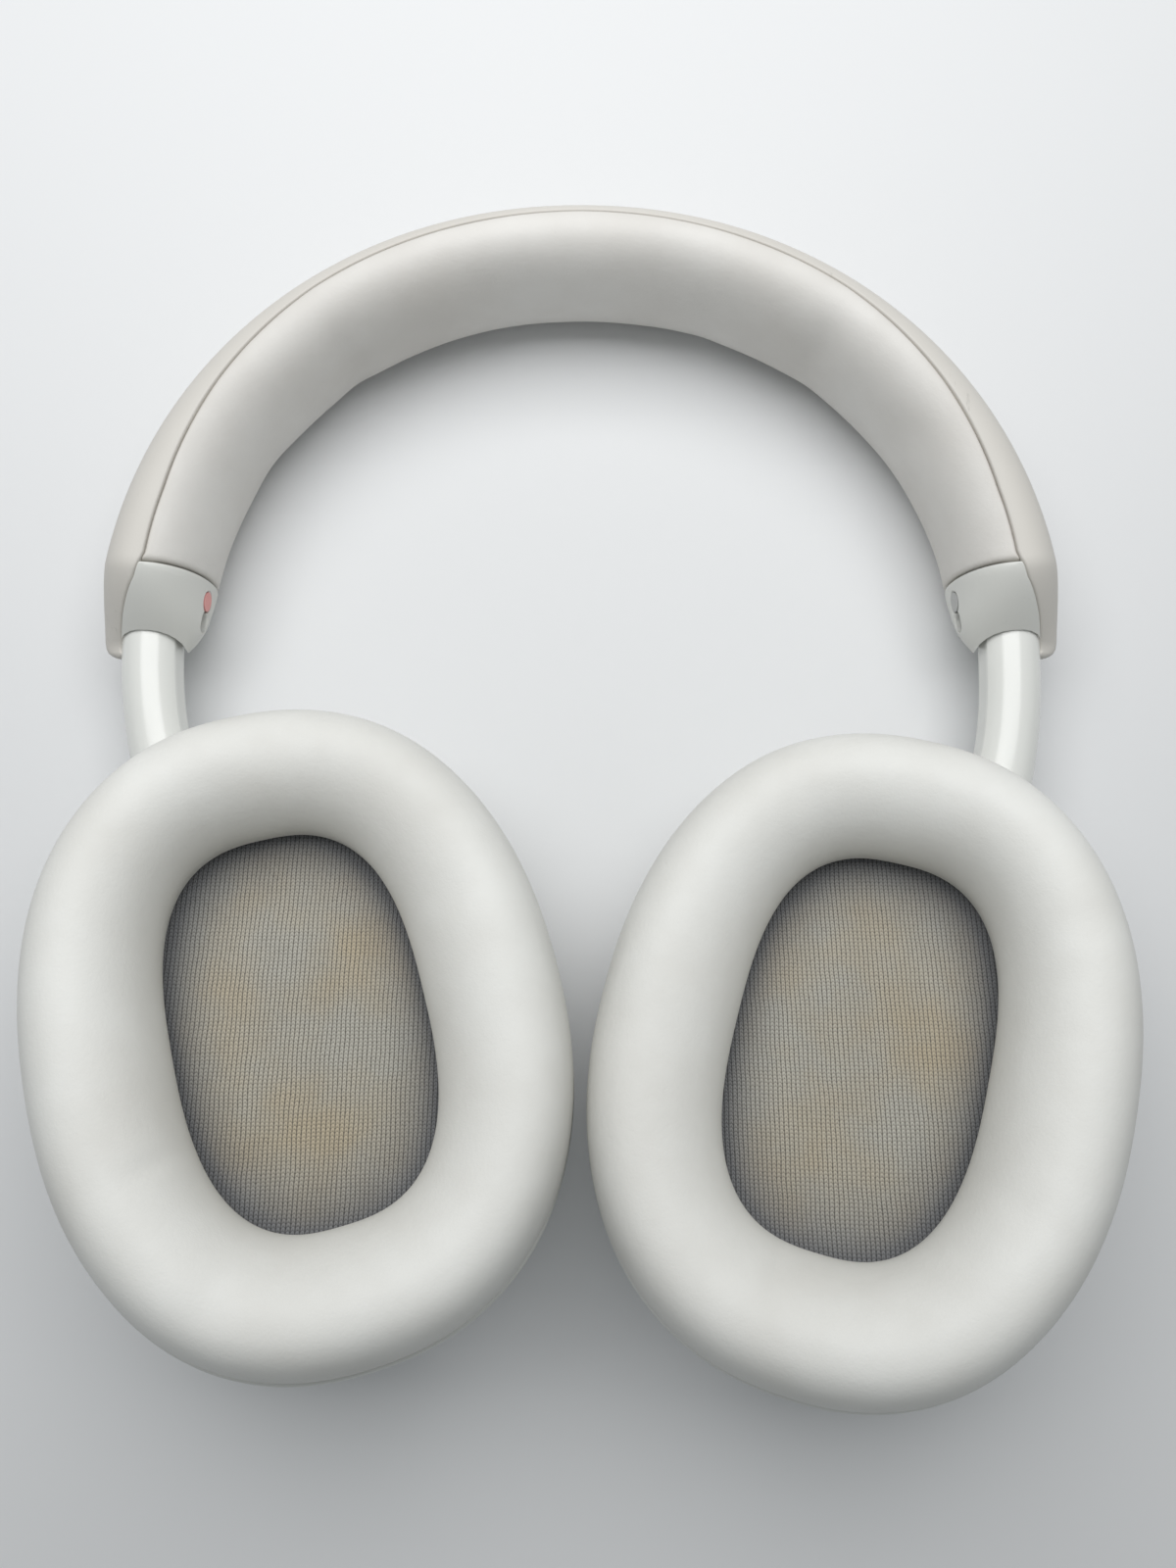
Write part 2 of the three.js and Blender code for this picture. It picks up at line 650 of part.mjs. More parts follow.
function shaftScrew() {
  const seat = -YOKE_HALF.y - 0.2 - GAP;
  const head = toSolid(rodY(SHAFT_NECK / 2, seat - 1.2, seat, 16));
  const thread = toSolid(rodY(0.6, seat - 0.5, -1.6, 8));
  const drive = toSolid(rodY(0.8, seat - 2, seat - 0.6, 6));
  return toGeometry(cut(join(head, thread), drive));
}

// Yoke: turns on the shaft, and carries the two tilt pins.
function swivelYoke() {
  const block = toSolid(box(2 * YOKE_HALF.x, 2 * YOKE_HALF.y, 2 * YOKE_HALF.z));
  const bore = toSolid(rodY(YOKE_BORE, -10, 10, 16));
  const pins = toSolid(rodX(PIN_DIAMETER / 2 + GAP, -10, 10, 12));
  return toGeometry(cut(block, bore, pins));
}

const PIN_START = YOKE_BORE + 0.1;
const EAR_START = YOKE_HALF.x + GAP;

function tiltPin(side) {
  const end = EAR_START + EAR_WALL;
  const [from, to] = side > 0 ? [PIN_START, end] : [-end, -PIN_START];
  return rodX(PIN_DIAMETER / 2, from, to, 12);
}

// ---- Ear cup, built for the left side --------------------------------------------------------

function outline(halfX, halfY, power, count, shiftX = 0) {
  return Array.from({ length: count }, (_, k) => {
    const turn = radians((360 * (k + 0.5)) / count);
    const c = Math.cos(turn);
    const s = Math.sin(turn);
    return [
      shiftX + halfX * Math.sign(c) * Math.abs(c) ** (2 / power),
      halfY * Math.sign(s) * Math.abs(s) ** (2 / power),
    ];
  });
}

function ringAt(points, z) {
  return points.map(([x, y]) => new THREE.Vector3(x, y, z));
}

function cupOutline(half, inset, count) {
  return outline(half[0] - inset, half[1] - inset, CUP_ROUNDNESS, count);
}

function slab(points, low, high) {
  return loft([ringAt(points, low), ringAt(points, high)]);
}

// The shell's rim is drawn in a little where it meets the pad, above the dome.
const RIM_INSET = 0.7;
const RIM_HEIGHT = 1.5;

// The dome: each level is the outline scaled by a fraction, at the depth that the fraction gives.
function dome(inset, depth, top, levels, count) {
  const rings = [ringAt(cupOutline(SHELL_HALF, inset + RIM_INSET, count), top)];
  for (const fraction of levels) {
    const z = -depth * (1 - fraction ** SHELL_DOME_POWER) ** (1 / SHELL_DOME_POWER);
    const points = cupOutline(SHELL_HALF, inset, count).map(([x, y]) => [x * fraction, y * fraction]);
    rings.push(ringAt(points, z - RIM_HEIGHT));
  }
  return toSolid(loft(rings));
}

const DOME_LEVELS = [1, 0.993, 0.97, 0.92, 0.83, 0.68, 0.4];
const HOLLOW_LEVELS = [1, 0.98, 0.9, 0.74, 0.45];

function cupAttitude() {
  const lean = new THREE.Matrix4().makeRotationZ(-radians(CUP_LEAN));
  const pitch = new THREE.Matrix4().makeRotationX(-radians(CUP_PITCH));
  const droop = new THREE.Matrix4().makeRotationY(-radians(CUP_DROOP));
  const centre = PIVOT.clone().add(new THREE.Vector3(-CUP_INSET, -CUP_DROP, CUP_LIFT));
  return lean.multiply(pitch).multiply(droop).setPosition(centre);
}
const CUP = cupAttitude();
const CUP_INVERSE = CUP.clone().invert();
const PIVOT_IN_CUP = PIVOT.clone().applyMatrix4(CUP_INVERSE);
const SHAFT_IN_CUP = SWIVEL_DOWN.clone().negate().transformDirection(CUP_INVERSE);
const HINGE_TURN = Math.atan2(-SHAFT_IN_CUP.x, SHAFT_IN_CUP.y);
const REST_TILT = Math.asin(SHAFT_IN_CUP.z);

// The hinge frame lies in the cup: X along the tilt pins, Y out towards the stem, Z along the pad's normal.
function hingeFrame() {
  return new THREE.Matrix4().makeRotationZ(HINGE_TURN).setPosition(PIVOT_IN_CUP);
}

function gimbalFrame() {
  return hingeFrame().multiply(new THREE.Matrix4().makeRotationX(REST_TILT));
}

// A point on the shell's side wall: turn is the direction from the cup's centre, in degrees.
function wallFrame(turn, z) {
  const power = CUP_ROUNDNESS;
  const depth = Math.max(-z - RIM_HEIGHT, 0) / SHELL_DEPTH;
  const fraction = (1 - depth ** SHELL_DOME_POWER) ** (1 / SHELL_DOME_POWER);
  const c = Math.cos(radians(turn));
  const s = Math.sin(radians(turn));
  const [a, b] = SHELL_HALF;
  const radius = fraction * (Math.abs(c / a) ** power + Math.abs(s / b) ** power) ** (-1 / power);
  const point = new THREE.Vector3(radius * c, radius * s, z);
  const outward = new THREE.Vector3(
    Math.sign(c) * Math.abs(point.x / a) ** (power - 1) / a,
    Math.sign(s) * Math.abs(point.y / b) ** (power - 1) / b,
    0,
  ).normalize();
  const up = new THREE.Vector3(0, 0, 1);
  // X runs along the wall, Y outwards.
  return new THREE.Matrix4().makeBasis(outward.clone().cross(up), outward, up).setPosition(point);
}

// Where things sit on the shells' walls: direction from the cup's centre, and height.
const POWER_BUTTON = [-40, -8.5];
const MODE_BUTTON = [-18, -8.5];
const JACK = [-58, -9];
const CHARGING_PORT = [-52, -9];
const LAMP = [-66, -8];
const MIC_LONG = [-109, -4.6];
const MIC_SHORT = [-85, -4.6];
const MIC_LONG_SIZE = [7.4, 1.3];
const MIC_SHORT_SIZE = [4, 1.3];
const LAMP_RADIUS = 0.8;

function wallPiece(geometry, [turn, z]) {
  return geometry.applyMatrix4(wallFrame(turn, z));
}

function wallHole(width, height, place, reach = 5) {
  return toSolid(wallPiece(stadiumBar(width, height, -reach, 4, 6), place));
}

function shell(side) {
  const depth = SHELL_DEPTH - RIM_HEIGHT;
  const outer = dome(0, depth, 0, DOME_LEVELS, 40);
  const inner = dome(SHELL_WALL, depth - SHELL_WALL, 1, HOLLOW_LEVELS, 28);
  const hinge = hingeFrame();
  const housing = toSolid(ball(BALL_RADIUS).applyMatrix4(hinge));
  const baffleUnder = -BAFFLE_WALL - GAP - PIVOT_IN_CUP.z;
  const outerHalf = toSolid(box(40, 24, 40, 0, 11, baffleUnder - 20).applyMatrix4(hinge));
  const hollow = toSolid(ball(BALL_RADIUS - BALL_WALL).applyMatrix4(hinge));
  const swings = [TILT_OUT, -TILT_IN / 2, -TILT_IN].map((tilt) => (
    gimbalFrame().multiply(new THREE.Matrix4().makeRotationX(radians(tilt)))
  ));
  const shaftSlots = swings.map((swing) => (
    toSolid(rodY(SHAFT_NECK / 2 + SWING_GAP / 2, 5, 14, 12).applyMatrix4(swing))
  ));
  const stemSwings = swings.map((swing) => (
    toSolid(rodY(STEM_DIAMETER / 2 + SWING_GAP, 7, 30, 16).applyMatrix4(swing))
  ));
  const scallop = cut(join(...stemSwings), housing);
  const holes = side > 0
    ? [
      wallHole(BUTTON_SIZE[0] + 2 * GAP, BUTTON_SIZE[1] + 2 * GAP, POWER_BUTTON),
      wallHole(BUTTON_SIZE[0] + 2 * GAP, BUTTON_SIZE[1] + 2 * GAP, MODE_BUTTON),
      wallHole(2 * JACK_RADIUS + 2 * GAP, 2 * JACK_RADIUS + 2 * GAP, JACK),
      wallHole(MIC_LONG_SIZE[0] + 0.4, MIC_LONG_SIZE[1] + 0.4, MIC_LONG),
      wallHole(MIC_SHORT_SIZE[0] + 0.4, MIC_SHORT_SIZE[1] + 0.4, MIC_SHORT),
    ]
    : [
      wallHole(PORT_SIZE[0] + 2 * (PORT_WALL + GAP), PORT_SIZE[1] + 2 * (PORT_WALL + GAP), CHARGING_PORT),
      wallHole(2 * LAMP_RADIUS + 2 * GAP, 2 * LAMP_RADIUS + 2 * GAP, LAMP),
      wallHole(MIC_LONG_SIZE[0] + 0.4, MIC_LONG_SIZE[1] + 0.4, MIC_LONG),
    ];
  const ballWall = housing.intersect(outerHalf);
  return toGeometry(cut(join(cut(outer, inner), ballWall), hollow, scallop, ...shaftSlots, ...holes));
}

// The bracket's screw goes through its plate into the baffle.
const BRACKET_SCREW_Y = -11;
const BRACKET_PLATE = 1.4;

function baffle() {
  const inset = SHELL_WALL + RIM_INSET + GAP + 0.2;
  const plate = toSolid(slab(cupOutline(SHELL_HALF, inset, 28), -BAFFLE_WALL, 0));
  const speaker = toSolid(rodZ(DRIVER_RADIUS + GAP, -5, 5, 32));
  const screw = toSolid(rodZ(1, 0, 20, 10).translate(0, BRACKET_SCREW_Y, 0).applyMatrix4(hingeFrame()));
  return toGeometry(cut(plate, speaker, screw));
}

// Bracket: a plate under the baffle with two ears that hold the tilt pins.
function hingeBracket() {
  const top = -BAFFLE_WALL - GAP - PIVOT_IN_CUP.z;
  const wide = EAR_START + EAR_WALL;
  const plate = toSolid(box(2 * wide, 11, BRACKET_PLATE, 0, -9.5, top - BRACKET_PLATE / 2));
  const ears = [EAR_START, -wide].map((start) => toSolid(bracketEar(start, top)));
  const bore = toSolid(rodX(PIN_DIAMETER / 2 + GAP, -20, 20, 12));
  const screw = toSolid(rodZ(1.2, 0, 20, 10).translate(0, BRACKET_SCREW_Y, 0));
  return toGeometry(cut(join(plate, ...ears), bore, screw));
}

// One ear in the hinge frame's YZ plane, from x = start.
function bracketEar(start, top) {
  const shape = new THREE.Shape();
  shape.moveTo(-15, top - BRACKET_PLATE / 2);
  shape.lineTo(-11, top - 4);
  shape.absarc(0, 0, EAR_RADIUS, radians(200), radians(70 + 360), false);
  shape.lineTo(-5, top - BRACKET_PLATE / 2);
  const ear = new THREE.ExtrudeGeometry(shape, { depth: EAR_WALL, bevelEnabled: false, curveSegments: 10 });
  // Shape x becomes Y, shape y becomes Z, and the extrusion runs along X.
  ear.applyMatrix4(new THREE.Matrix4().makeBasis(
    new THREE.Vector3(0, 1, 0), new THREE.Vector3(0, 0, 1), new THREE.Vector3(1, 0, 0),
  ));
  return ear.translate(start, 0, 0);
}

function bracketScrew() {
  const top = -BAFFLE_WALL - GAP - PIVOT_IN_CUP.z;
  const seat = top - BRACKET_PLATE - GAP;
  const head = toSolid(rodZ(2, seat - 1.2, seat, 14));
  const thread = toSolid(rodZ(0.7, seat - 0.6, top + BAFFLE_WALL, 8));
  const drive = toSolid(rodZ(0.9, seat - 2, seat - 0.6, 6));
  return toGeometry(cut(join(head, thread), drive)).translate(0, BRACKET_SCREW_Y, 0);
}

// The ear pad's section: share of the way from the outer outline to the opening, and share of its height.
const PAD_SECTION = [
  [0, 0.1], [0.02, 0.3], [0.05, 0.52], [0.1, 0.72], [0.19, 0.9], [0.34, 0.995], [0.58, 0.99],
  [0.79, 0.856], [0.94, 0.61], [1.0, 0.37], [0.92, 0.1],
];

function earPad() {
  const count = 40;
  const outer = cupOutline(PAD_HALF, 0, count);
  const opening = outline(OPENING_HALF[0], OPENING_HALF[1], OPENING_ROUNDNESS, count, OPENING_SHIFT);
  const rings = PAD_SECTION.map(([share, z]) => ringAt(
    outer.map(([x, y], k) => [
      THREE.MathUtils.lerp(x, opening[k][0], share),
      THREE.MathUtils.lerp(y, opening[k][1], share),
    ]),
    z * PAD_HEIGHT,
  ));
  return loft(rings, true);
}

function fabricOutline(extra, count) {
  const half = OPENING_HALF.map((size) => size + FABRIC_MARGIN + extra);
  return outline(half[0], half[1], OPENING_ROUNDNESS, count, OPENING_SHIFT);
}

function padRing() {
  const plate = toSolid(slab(cupOutline(PAD_HALF, PAD_RING_INSET, 40), GAP, GAP + PAD_RING_WALL));
  return toGeometry(cut(plate, toSolid(slab(fabricOutline(GAP, 32), -1, 5))));
}

function driverCover() {
  return slab(fabricOutline(0, 32), GAP, GAP + FABRIC_WALL);
}

function driverDiaphragm() {
  const profile = [
    [0, -1.7], [DRIVER_RADIUS * 0.5, -1.7], [DRIVER_RADIUS, -1.7], [DRIVER_RADIUS, -1.1],
    [DRIVER_RADIUS * 0.82, -0.5], [DRIVER_RADIUS * 0.6, -1.2], [DRIVER_RADIUS * 0.3, -0.5], [0, -0.3],
  ].map(([r, z]) => new THREE.Vector2(r, z));
  return new THREE.LatheGeometry(profile, 24).rotateX(Math.PI / 2);
}

function driverBasket() {
  const top = -BAFFLE_WALL - GAP;
  const body = toSolid(rodZ(BASKET_RADIUS, top - BASKET_DEPTH, top, 32));
  const hollow = toSolid(rodZ(DRIVER_RADIUS - 1, top - BASKET_DEPTH + 1.2, top + 1, 32));
  const centre = toSolid(rodZ(MAGNET_RADIUS - 3, top - BASKET_DEPTH - 1, top, 24));
  return toGeometry(cut(body, hollow, centre));
}

function driverMagnet() {
  const top = -BAFFLE_WALL - 2 * GAP - BASKET_DEPTH;
  return rodZ(MAGNET_RADIUS, top - MAGNET_DEPTH, top, 28);
}

const BOARD_TOP = -BAFFLE_WALL - 3 * GAP - BASKET_DEPTH - MAGNET_DEPTH;
const BOARD_SHIFT = -5;

function circuitBoard() {
  return box(...BOARD_SIZE, 0, BOARD_SHIFT, BOARD_TOP - BOARD_SIZE[2] / 2);
}

function battery() {
  const top = BOARD_TOP - BOARD_SIZE[2] - GAP;
  return box(...BATTERY_SIZE, 0, BOARD_SHIFT - 9, top - BATTERY_SIZE[2] / 2);
}

// A push button: cap through the wall and a flange behind it.
const BUTTON_PROUD = 0.9;
const FLANGE_SEAT = -4.1;

function pushButton(place) {
  const [long, wide] = BUTTON_SIZE;
  const cap = toSolid(stadiumBar(long, wide, FLANGE_SEAT - 0.8, BUTTON_PROUD, 8));
  const flange = toSolid(stadiumBar(long + 2.4, wide + 1.6, FLANGE_SEAT - 1.6, FLANGE_SEAT - 0.6, 8));
  return wallPiece(toGeometry(join(cap, flange)), place);
}

function headphoneJack() {
  const body = toSolid(rodY(JACK_RADIUS, -9.5, -0.1, 16));
  return wallPiece(toGeometry(cut(body, toSolid(rodY(JACK_BORE_RADIUS, -8.7, 2, 12)))), JACK);
}

function chargingPort() {
  const [wide, tall] = PORT_SIZE;
  const body = toSolid(stadiumBar(wide + 2 * PORT_WALL, tall + 2 * PORT_WALL, -7.5, -0.1, 6));
  const hollow = toSolid(stadiumBar(wide, tall, -6.5, 2, 6));
  const tongue = toSolid(box(wide - 2.4, 6, 0.7, 0, -4.2, 0));
  return wallPiece(toGeometry(join(cut(body, hollow), tongue)), CHARGING_PORT);
}

function statusLamp() {
  return wallPiece(rodY(LAMP_RADIUS, -4, 0, 12), LAMP);
}

function micCover(size, place) {
  return wallPiece(stadiumBar(size[0], size[1], -1.6, -0.4, 6), place);
}

// ---- Assembly --------------------------------------------------------------------------------

function mesh(name, geometry, material) {
  const piece = new THREE.Mesh(geometry, material);
  piece.name = name;
  return piece;
}

function placed(matrix, ...pieces) {
  const group = new THREE.Group();
  group.applyMatrix4(matrix);
  group.add(...pieces);
  return group;
}

function headband() {
  const group = new THREE.Group();
  group.add(mesh("headband_cover", headbandCover(), coverPlastic));
  group.add(mesh("headband_cushion", headbandCushion(), bandLeather));
  group.add(mesh("headband_frame", headbandFrame(), innerPlastic));
  group.add(mesh("headband_spring", headbandSpring(), springSteel));
  group.add(mesh("headband_wire", headbandWire(), wireRubber));
  return group;
}

function sleeveGroup(side, name) {
  const group = new THREE.Group();
  group.scale.x = side;
  group.add(mesh(name + "_sleeve", sleeve(), shellPlastic));
  group.add(mesh(name + "_slide_shoe", slideShoe(), innerPlastic));
  group.add(mesh(name + "_sleeve_screw", sleeveScrew(), steel));
  group.add(mesh(name + "_side_mark", sideMark(), side > 0 ? greyMark : redMark));
  return group;
}

function armGroup(side, name) {
  const group = new THREE.Group();
  group.scale.x = side;
  group.position.y = side > 0 ? -LEFT_REST_EXTENSION : 0;
  group.add(mesh(name + "_stem", stem(), stemPlastic));
  group.add(mesh(name + "_stem_stop", stemStop(), innerPlastic));
  group.add(placed(
    swivelFrame(),
    mesh(name + "_swivel_shaft", swivelShaft(), steel),
    mesh(name + "_friction_washer", frictionWasher(), springSteel),
    mesh(name + "_shaft_screw", shaftScrew(), steel),
  ));
  group.add(placed(CUP, ...cupPieces(side, name)));
  return group;
}

function cupPieces(side, name) {
  const hinge = placed(
    hingeFrame(),
    mesh(name + "_hinge_bracket", hingeBracket(), steel),
    mesh(name + "_bracket_screw", bracketScrew(), steel),
  );
  const gimbal = placed(
    gimbalFrame(),
    mesh(name + "_swivel_yoke", swivelYoke(), steel),
    mesh(name + "_tilt_pin_inner", tiltPin(-1), steel),
    mesh(name + "_tilt_pin_outer", tiltPin(1), steel),
  );
  const common = [
    mesh(name + "_ear_shell", shell(side), shellPlastic),
    mesh(name + "_baffle", baffle(), innerPlastic),
    mesh(name + "_pad_ring", padRing(), innerPlastic),
    mesh(name + "_ear_pad", earPad(), padLeather),
    mesh(name + "_driver_cover", driverCover(), knit),
    mesh(name + "_driver_diaphragm", driverDiaphragm(), blackMesh),
    mesh(name + "_driver_basket", driverBasket(), innerPlastic),
    mesh(name + "_driver_magnet", driverMagnet(), steel),
    mesh(name + "_circuit_board", circuitBoard(), boardGreen),
    mesh(name + "_mic_cover_long", micCover(MIC_LONG_SIZE, MIC_LONG), blackMesh),
  ];
  const own = side > 0
    ? [
      mesh("power_button", pushButton(POWER_BUTTON), shellPlastic),
      mesh("mode_button", pushButton(MODE_BUTTON), shellPlastic),
      mesh("headphone_jack", headphoneJack(), blackMesh),
      mesh("left_mic_cover_short", micCover(MIC_SHORT_SIZE, MIC_SHORT), blackMesh),
    ]
    : [
      mesh("charging_port", chargingPort(), steel),
      mesh("status_lamp", statusLamp(), lampLens),
      mesh("battery", battery(), batteryFoil),
    ];
  return [hinge, gimbal, ...common, ...own];
}

function headphones() {
  const whole = new THREE.Group();
  whole.add(headband());
  for (const [side, name] of [[1, "left"], [-1, "right"]]) {
    whole.add(sleeveGroup(side, name));
    whole.add(armGroup(side, name));
  }
  // The origin is the middle of the underside of the whole object.
  whole.updateMatrixWorld(true);
  const bounds = new THREE.Box3().setFromObject(whole, true);
  const middle = bounds.getCenter(new THREE.Vector3());
  whole.position.set(-middle.x, -middle.y, -bounds.min.z);
  return whole;
}

export default headphones();
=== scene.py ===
# Over-ear wireless headphones lying flat with the ear pads up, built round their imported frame.
import json
import math

import bmesh
import bpy
import numpy as np
from mathutils import Matrix, Vector, noise


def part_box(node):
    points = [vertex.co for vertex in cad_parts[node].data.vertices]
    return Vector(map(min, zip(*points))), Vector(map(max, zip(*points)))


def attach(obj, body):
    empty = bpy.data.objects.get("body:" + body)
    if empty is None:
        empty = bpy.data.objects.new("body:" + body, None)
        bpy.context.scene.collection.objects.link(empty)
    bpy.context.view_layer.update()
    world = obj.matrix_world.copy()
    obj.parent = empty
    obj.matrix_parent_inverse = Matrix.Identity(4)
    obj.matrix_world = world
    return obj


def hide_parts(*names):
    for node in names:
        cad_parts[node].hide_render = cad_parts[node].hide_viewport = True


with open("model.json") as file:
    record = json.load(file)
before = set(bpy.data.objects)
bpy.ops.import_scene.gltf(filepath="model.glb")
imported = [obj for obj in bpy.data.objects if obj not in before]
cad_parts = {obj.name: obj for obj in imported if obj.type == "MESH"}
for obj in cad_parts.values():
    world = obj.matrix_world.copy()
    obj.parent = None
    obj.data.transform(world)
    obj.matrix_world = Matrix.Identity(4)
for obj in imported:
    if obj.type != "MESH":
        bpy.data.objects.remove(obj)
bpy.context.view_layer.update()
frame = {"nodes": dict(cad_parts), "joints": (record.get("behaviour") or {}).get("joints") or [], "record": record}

MM = 0.001

# ---- Sizes, in millimetres, of the same headphones as the frame --------------------------------

ARCH_HALF_SPAN = 74.1
ARCH_RISE = 70.4
ARCH_SQUARENESS = 2.06
BAND_HALF_WIDTH = 14.0
BAND_THICKNESS = 16.4
BAND_THICKNESS_CROWN = 14.0
BAND_BULGE = 0.6
BAND_ROUNDNESS = 2.1
COVER_WALL = 1.4
COVER_ROOM = 0.35
COVER_REACH = ((0, 4, 8, 11, 20, 36, 53, 90), (52, 70, 92, 101, 99, 88, 78, 72))

SLEEVE_TOP = 12.6
SLEEVE_BOTTOM = -0.9
SLEEVE_END_LENGTH = 9.5
SLEEVE_END_INNER_LOSS = 3.8
SLEEVE_FACE_LENGTH = 13.5
SLEEVE_FACE_LOSS = 13.5
SLEEVE_TIP_HALF_WIDTH = 2.6
SLEEVE_TIP_RADIUS = 2.4
SEAM = 0.3
MOUTH_OUT = 5.55
MOUTH_IN = 6.1
MOUTH_TOP = 3.6
MARK_HEIGHT = 10.2
MARK_RADIUS = 1.9
SCREW_HEIGHT = 6.2

STEM_RADIUS = 5.1
STEM_TOP = 28.0
STEM_END_ANGLE = 16.8
STEM_FLAT = 4.6
RELIEF_RADIUS = ARCH_HALF_SPAN + STEM_RADIUS - 0.8
SWIVEL_LEAN = 10.0
BALL_RADIUS = 11.0
BALL_WALL = 1.8
BALL_GAP = 0.6
SHAFT_NECK = 6.0
SWING_GAP = 0.9
TILT_OUT = 2.0
TILT_IN = 16.0

CUP_LEAN = 16.0
CUP_PITCH = 11.3
CUP_DROOP = 12.3
CUP_OFFSET = (-25.7, -29.4, 14.8)
CUP_SHIFT = -0.6
CUP_ROUNDNESS = 2.23
SHELL_HALF = (41.0, 50.8)
SHELL_DEPTH = 22.9
SHELL_DOME_POWER = 3.0
SHELL_WALL = 2.0
RIM_INSET = 0.7
RIM_HEIGHT = 1.5
BAFFLE_WALL = 2.0
PAD_HALF = (39.6, 49.4)
PAD_HEIGHT = 20.2
OPENING_HALF = (18.9, 30.0)
OPENING_ROUNDNESS = 2.67
OPENING_SHIFT = 0.6
CLOTH_MARGIN = 3.2
CLOTH_HEIGHT = 1.2
CLOTH_WALL = 0.6
CLOTH_BULGE = 1.1

BUTTON = (9.6, 4.6)
ROUND_PORT = (6.6, 6.6)
CHARGE_PORT = (10.7, 5.0)
LAMP_HOLE = (2.2, 2.2)
MIC_LONG = (7.8, 1.7)
MIC_SHORT = (4.4, 1.7)
LEFT_HOLES = ((BUTTON, -40, -8.5), (BUTTON, -18, -8.5), (ROUND_PORT, -58, -9), (MIC_LONG, -109, -4.6),
              (MIC_SHORT, -85, -4.6))
RIGHT_HOLES = ((CHARGE_PORT, -52, -9), (LAMP_HOLE, -66, -8), (MIC_LONG, -109, -4.6))

# ---- Materials ---------------------------------------------------------------------------------


def linear(code):
    """An sRGB hex colour as linear red, green, blue and alpha."""
    parts = [int(code[i:i + 2], 16) / 255 for i in (1, 3, 5)]
    return tuple(c / 12.92 if c <= 0.04045 else ((c + 0.055) / 1.055) ** 2.4 for c in parts) + (1.0,)


def add(tree, kind, inputs=None, **fields):
    """Adds a node, sets its fields, and gives each named or numbered input a value or a link."""
    node = tree.nodes.new(kind)
    for name, value in fields.items():
        setattr(node, name, value)
    for name, value in (inputs or {}).items():
        if isinstance(value, bpy.types.NodeSocket):
            tree.links.new(value, node.inputs[name])
        else:
            node.inputs[name].default_value = value
    return node


def blank(name, **shader_inputs):
    """A new material: its node tree, its shader and its object coordinates."""
    made = bpy.data.materials.new(name)
    made.use_nodes = True
    tree = made.node_tree
    shader = tree.nodes["Principled BSDF"]
    for socket, value in shader_inputs.items():
        shader.inputs[socket.replace("_", " ")].default_value = value
    coords = add(tree, "ShaderNodeTexCoord").outputs["Object"]
    return made, tree, shader, coords


def finish_surface(tree, shader, colour, roughness, height=None, depth=0.0):
    """Links a surface's colour, roughness and relief; depth is the relief's height in metres."""
    tree.links.new(colour, shader.inputs["Base Color"])
    tree.links.new(roughness, shader.inputs["Roughness"])
    if height is not None:
        bump = add(tree, "ShaderNodeBump", {"Height": height, "Strength": 1.0, "Distance": depth})
        tree.links.new(bump.outputs[0], shader.inputs["Normal"])


def moulded_plastic(name, light, dark, rough=(0.4, 0.52), grain_mm=0.45, depth=0.000012, scuff=0.25, **inputs):
    """Injection-moulded plastic: a fine spark-eroded grain, slow colour drift and a few dull scuffs."""
    made, tree, shader, coords = blank(name, **inputs)
    drift = add(tree, "ShaderNodeTexNoise", {"Vector": coords, "Scale": 1 / (38 * MM), "Detail": 3.0})
    grain = add(tree, "ShaderNodeTexNoise", {"Vector": coords, "Scale": 1 / (grain_mm * MM), "Detail": 2.0})
    # Scuffs are the narrow ridges of a stretched noise.
    stretch = add(tree, "ShaderNodeMapping", {"Vector": coords, "Scale": (1.0, 0.16, 1.0),
                                              "Rotation": (0.3, 0.2, 0.7)})
    marks = add(tree, "ShaderNodeTexNoise", {"Vector": stretch.outputs[0], "Scale": 1 / (2.2 * MM),
                                             "Detail": 4.0, "Roughness": 0.7})
    scuffs = add(tree, "ShaderNodeMapRange", {"Value": marks.outputs[0], "From Min": 0.66, "From Max": 0.78,
                                              "To Max": scuff})
    base = add(tree, "ShaderNodeMix", {"Factor": drift.outputs[0], 6: linear(light), 7: linear(dark)},
               data_type="RGBA")
    worn = add(tree, "ShaderNodeMix", {"Factor": scuffs.outputs[0], 6: base.outputs[2],
                                       7: linear("#8f8c86")}, data_type="RGBA")
    dull = add(tree, "ShaderNodeMapRange", {"Value": drift.outputs[0], "From Min": 0.3, "From Max": 0.7,
                                            "To Min": rough[0], "To Max": rough[1]})
    finish_surface(tree, shader, worn.outputs[2], dull.outputs[0], grain.outputs[0], depth)
    return made


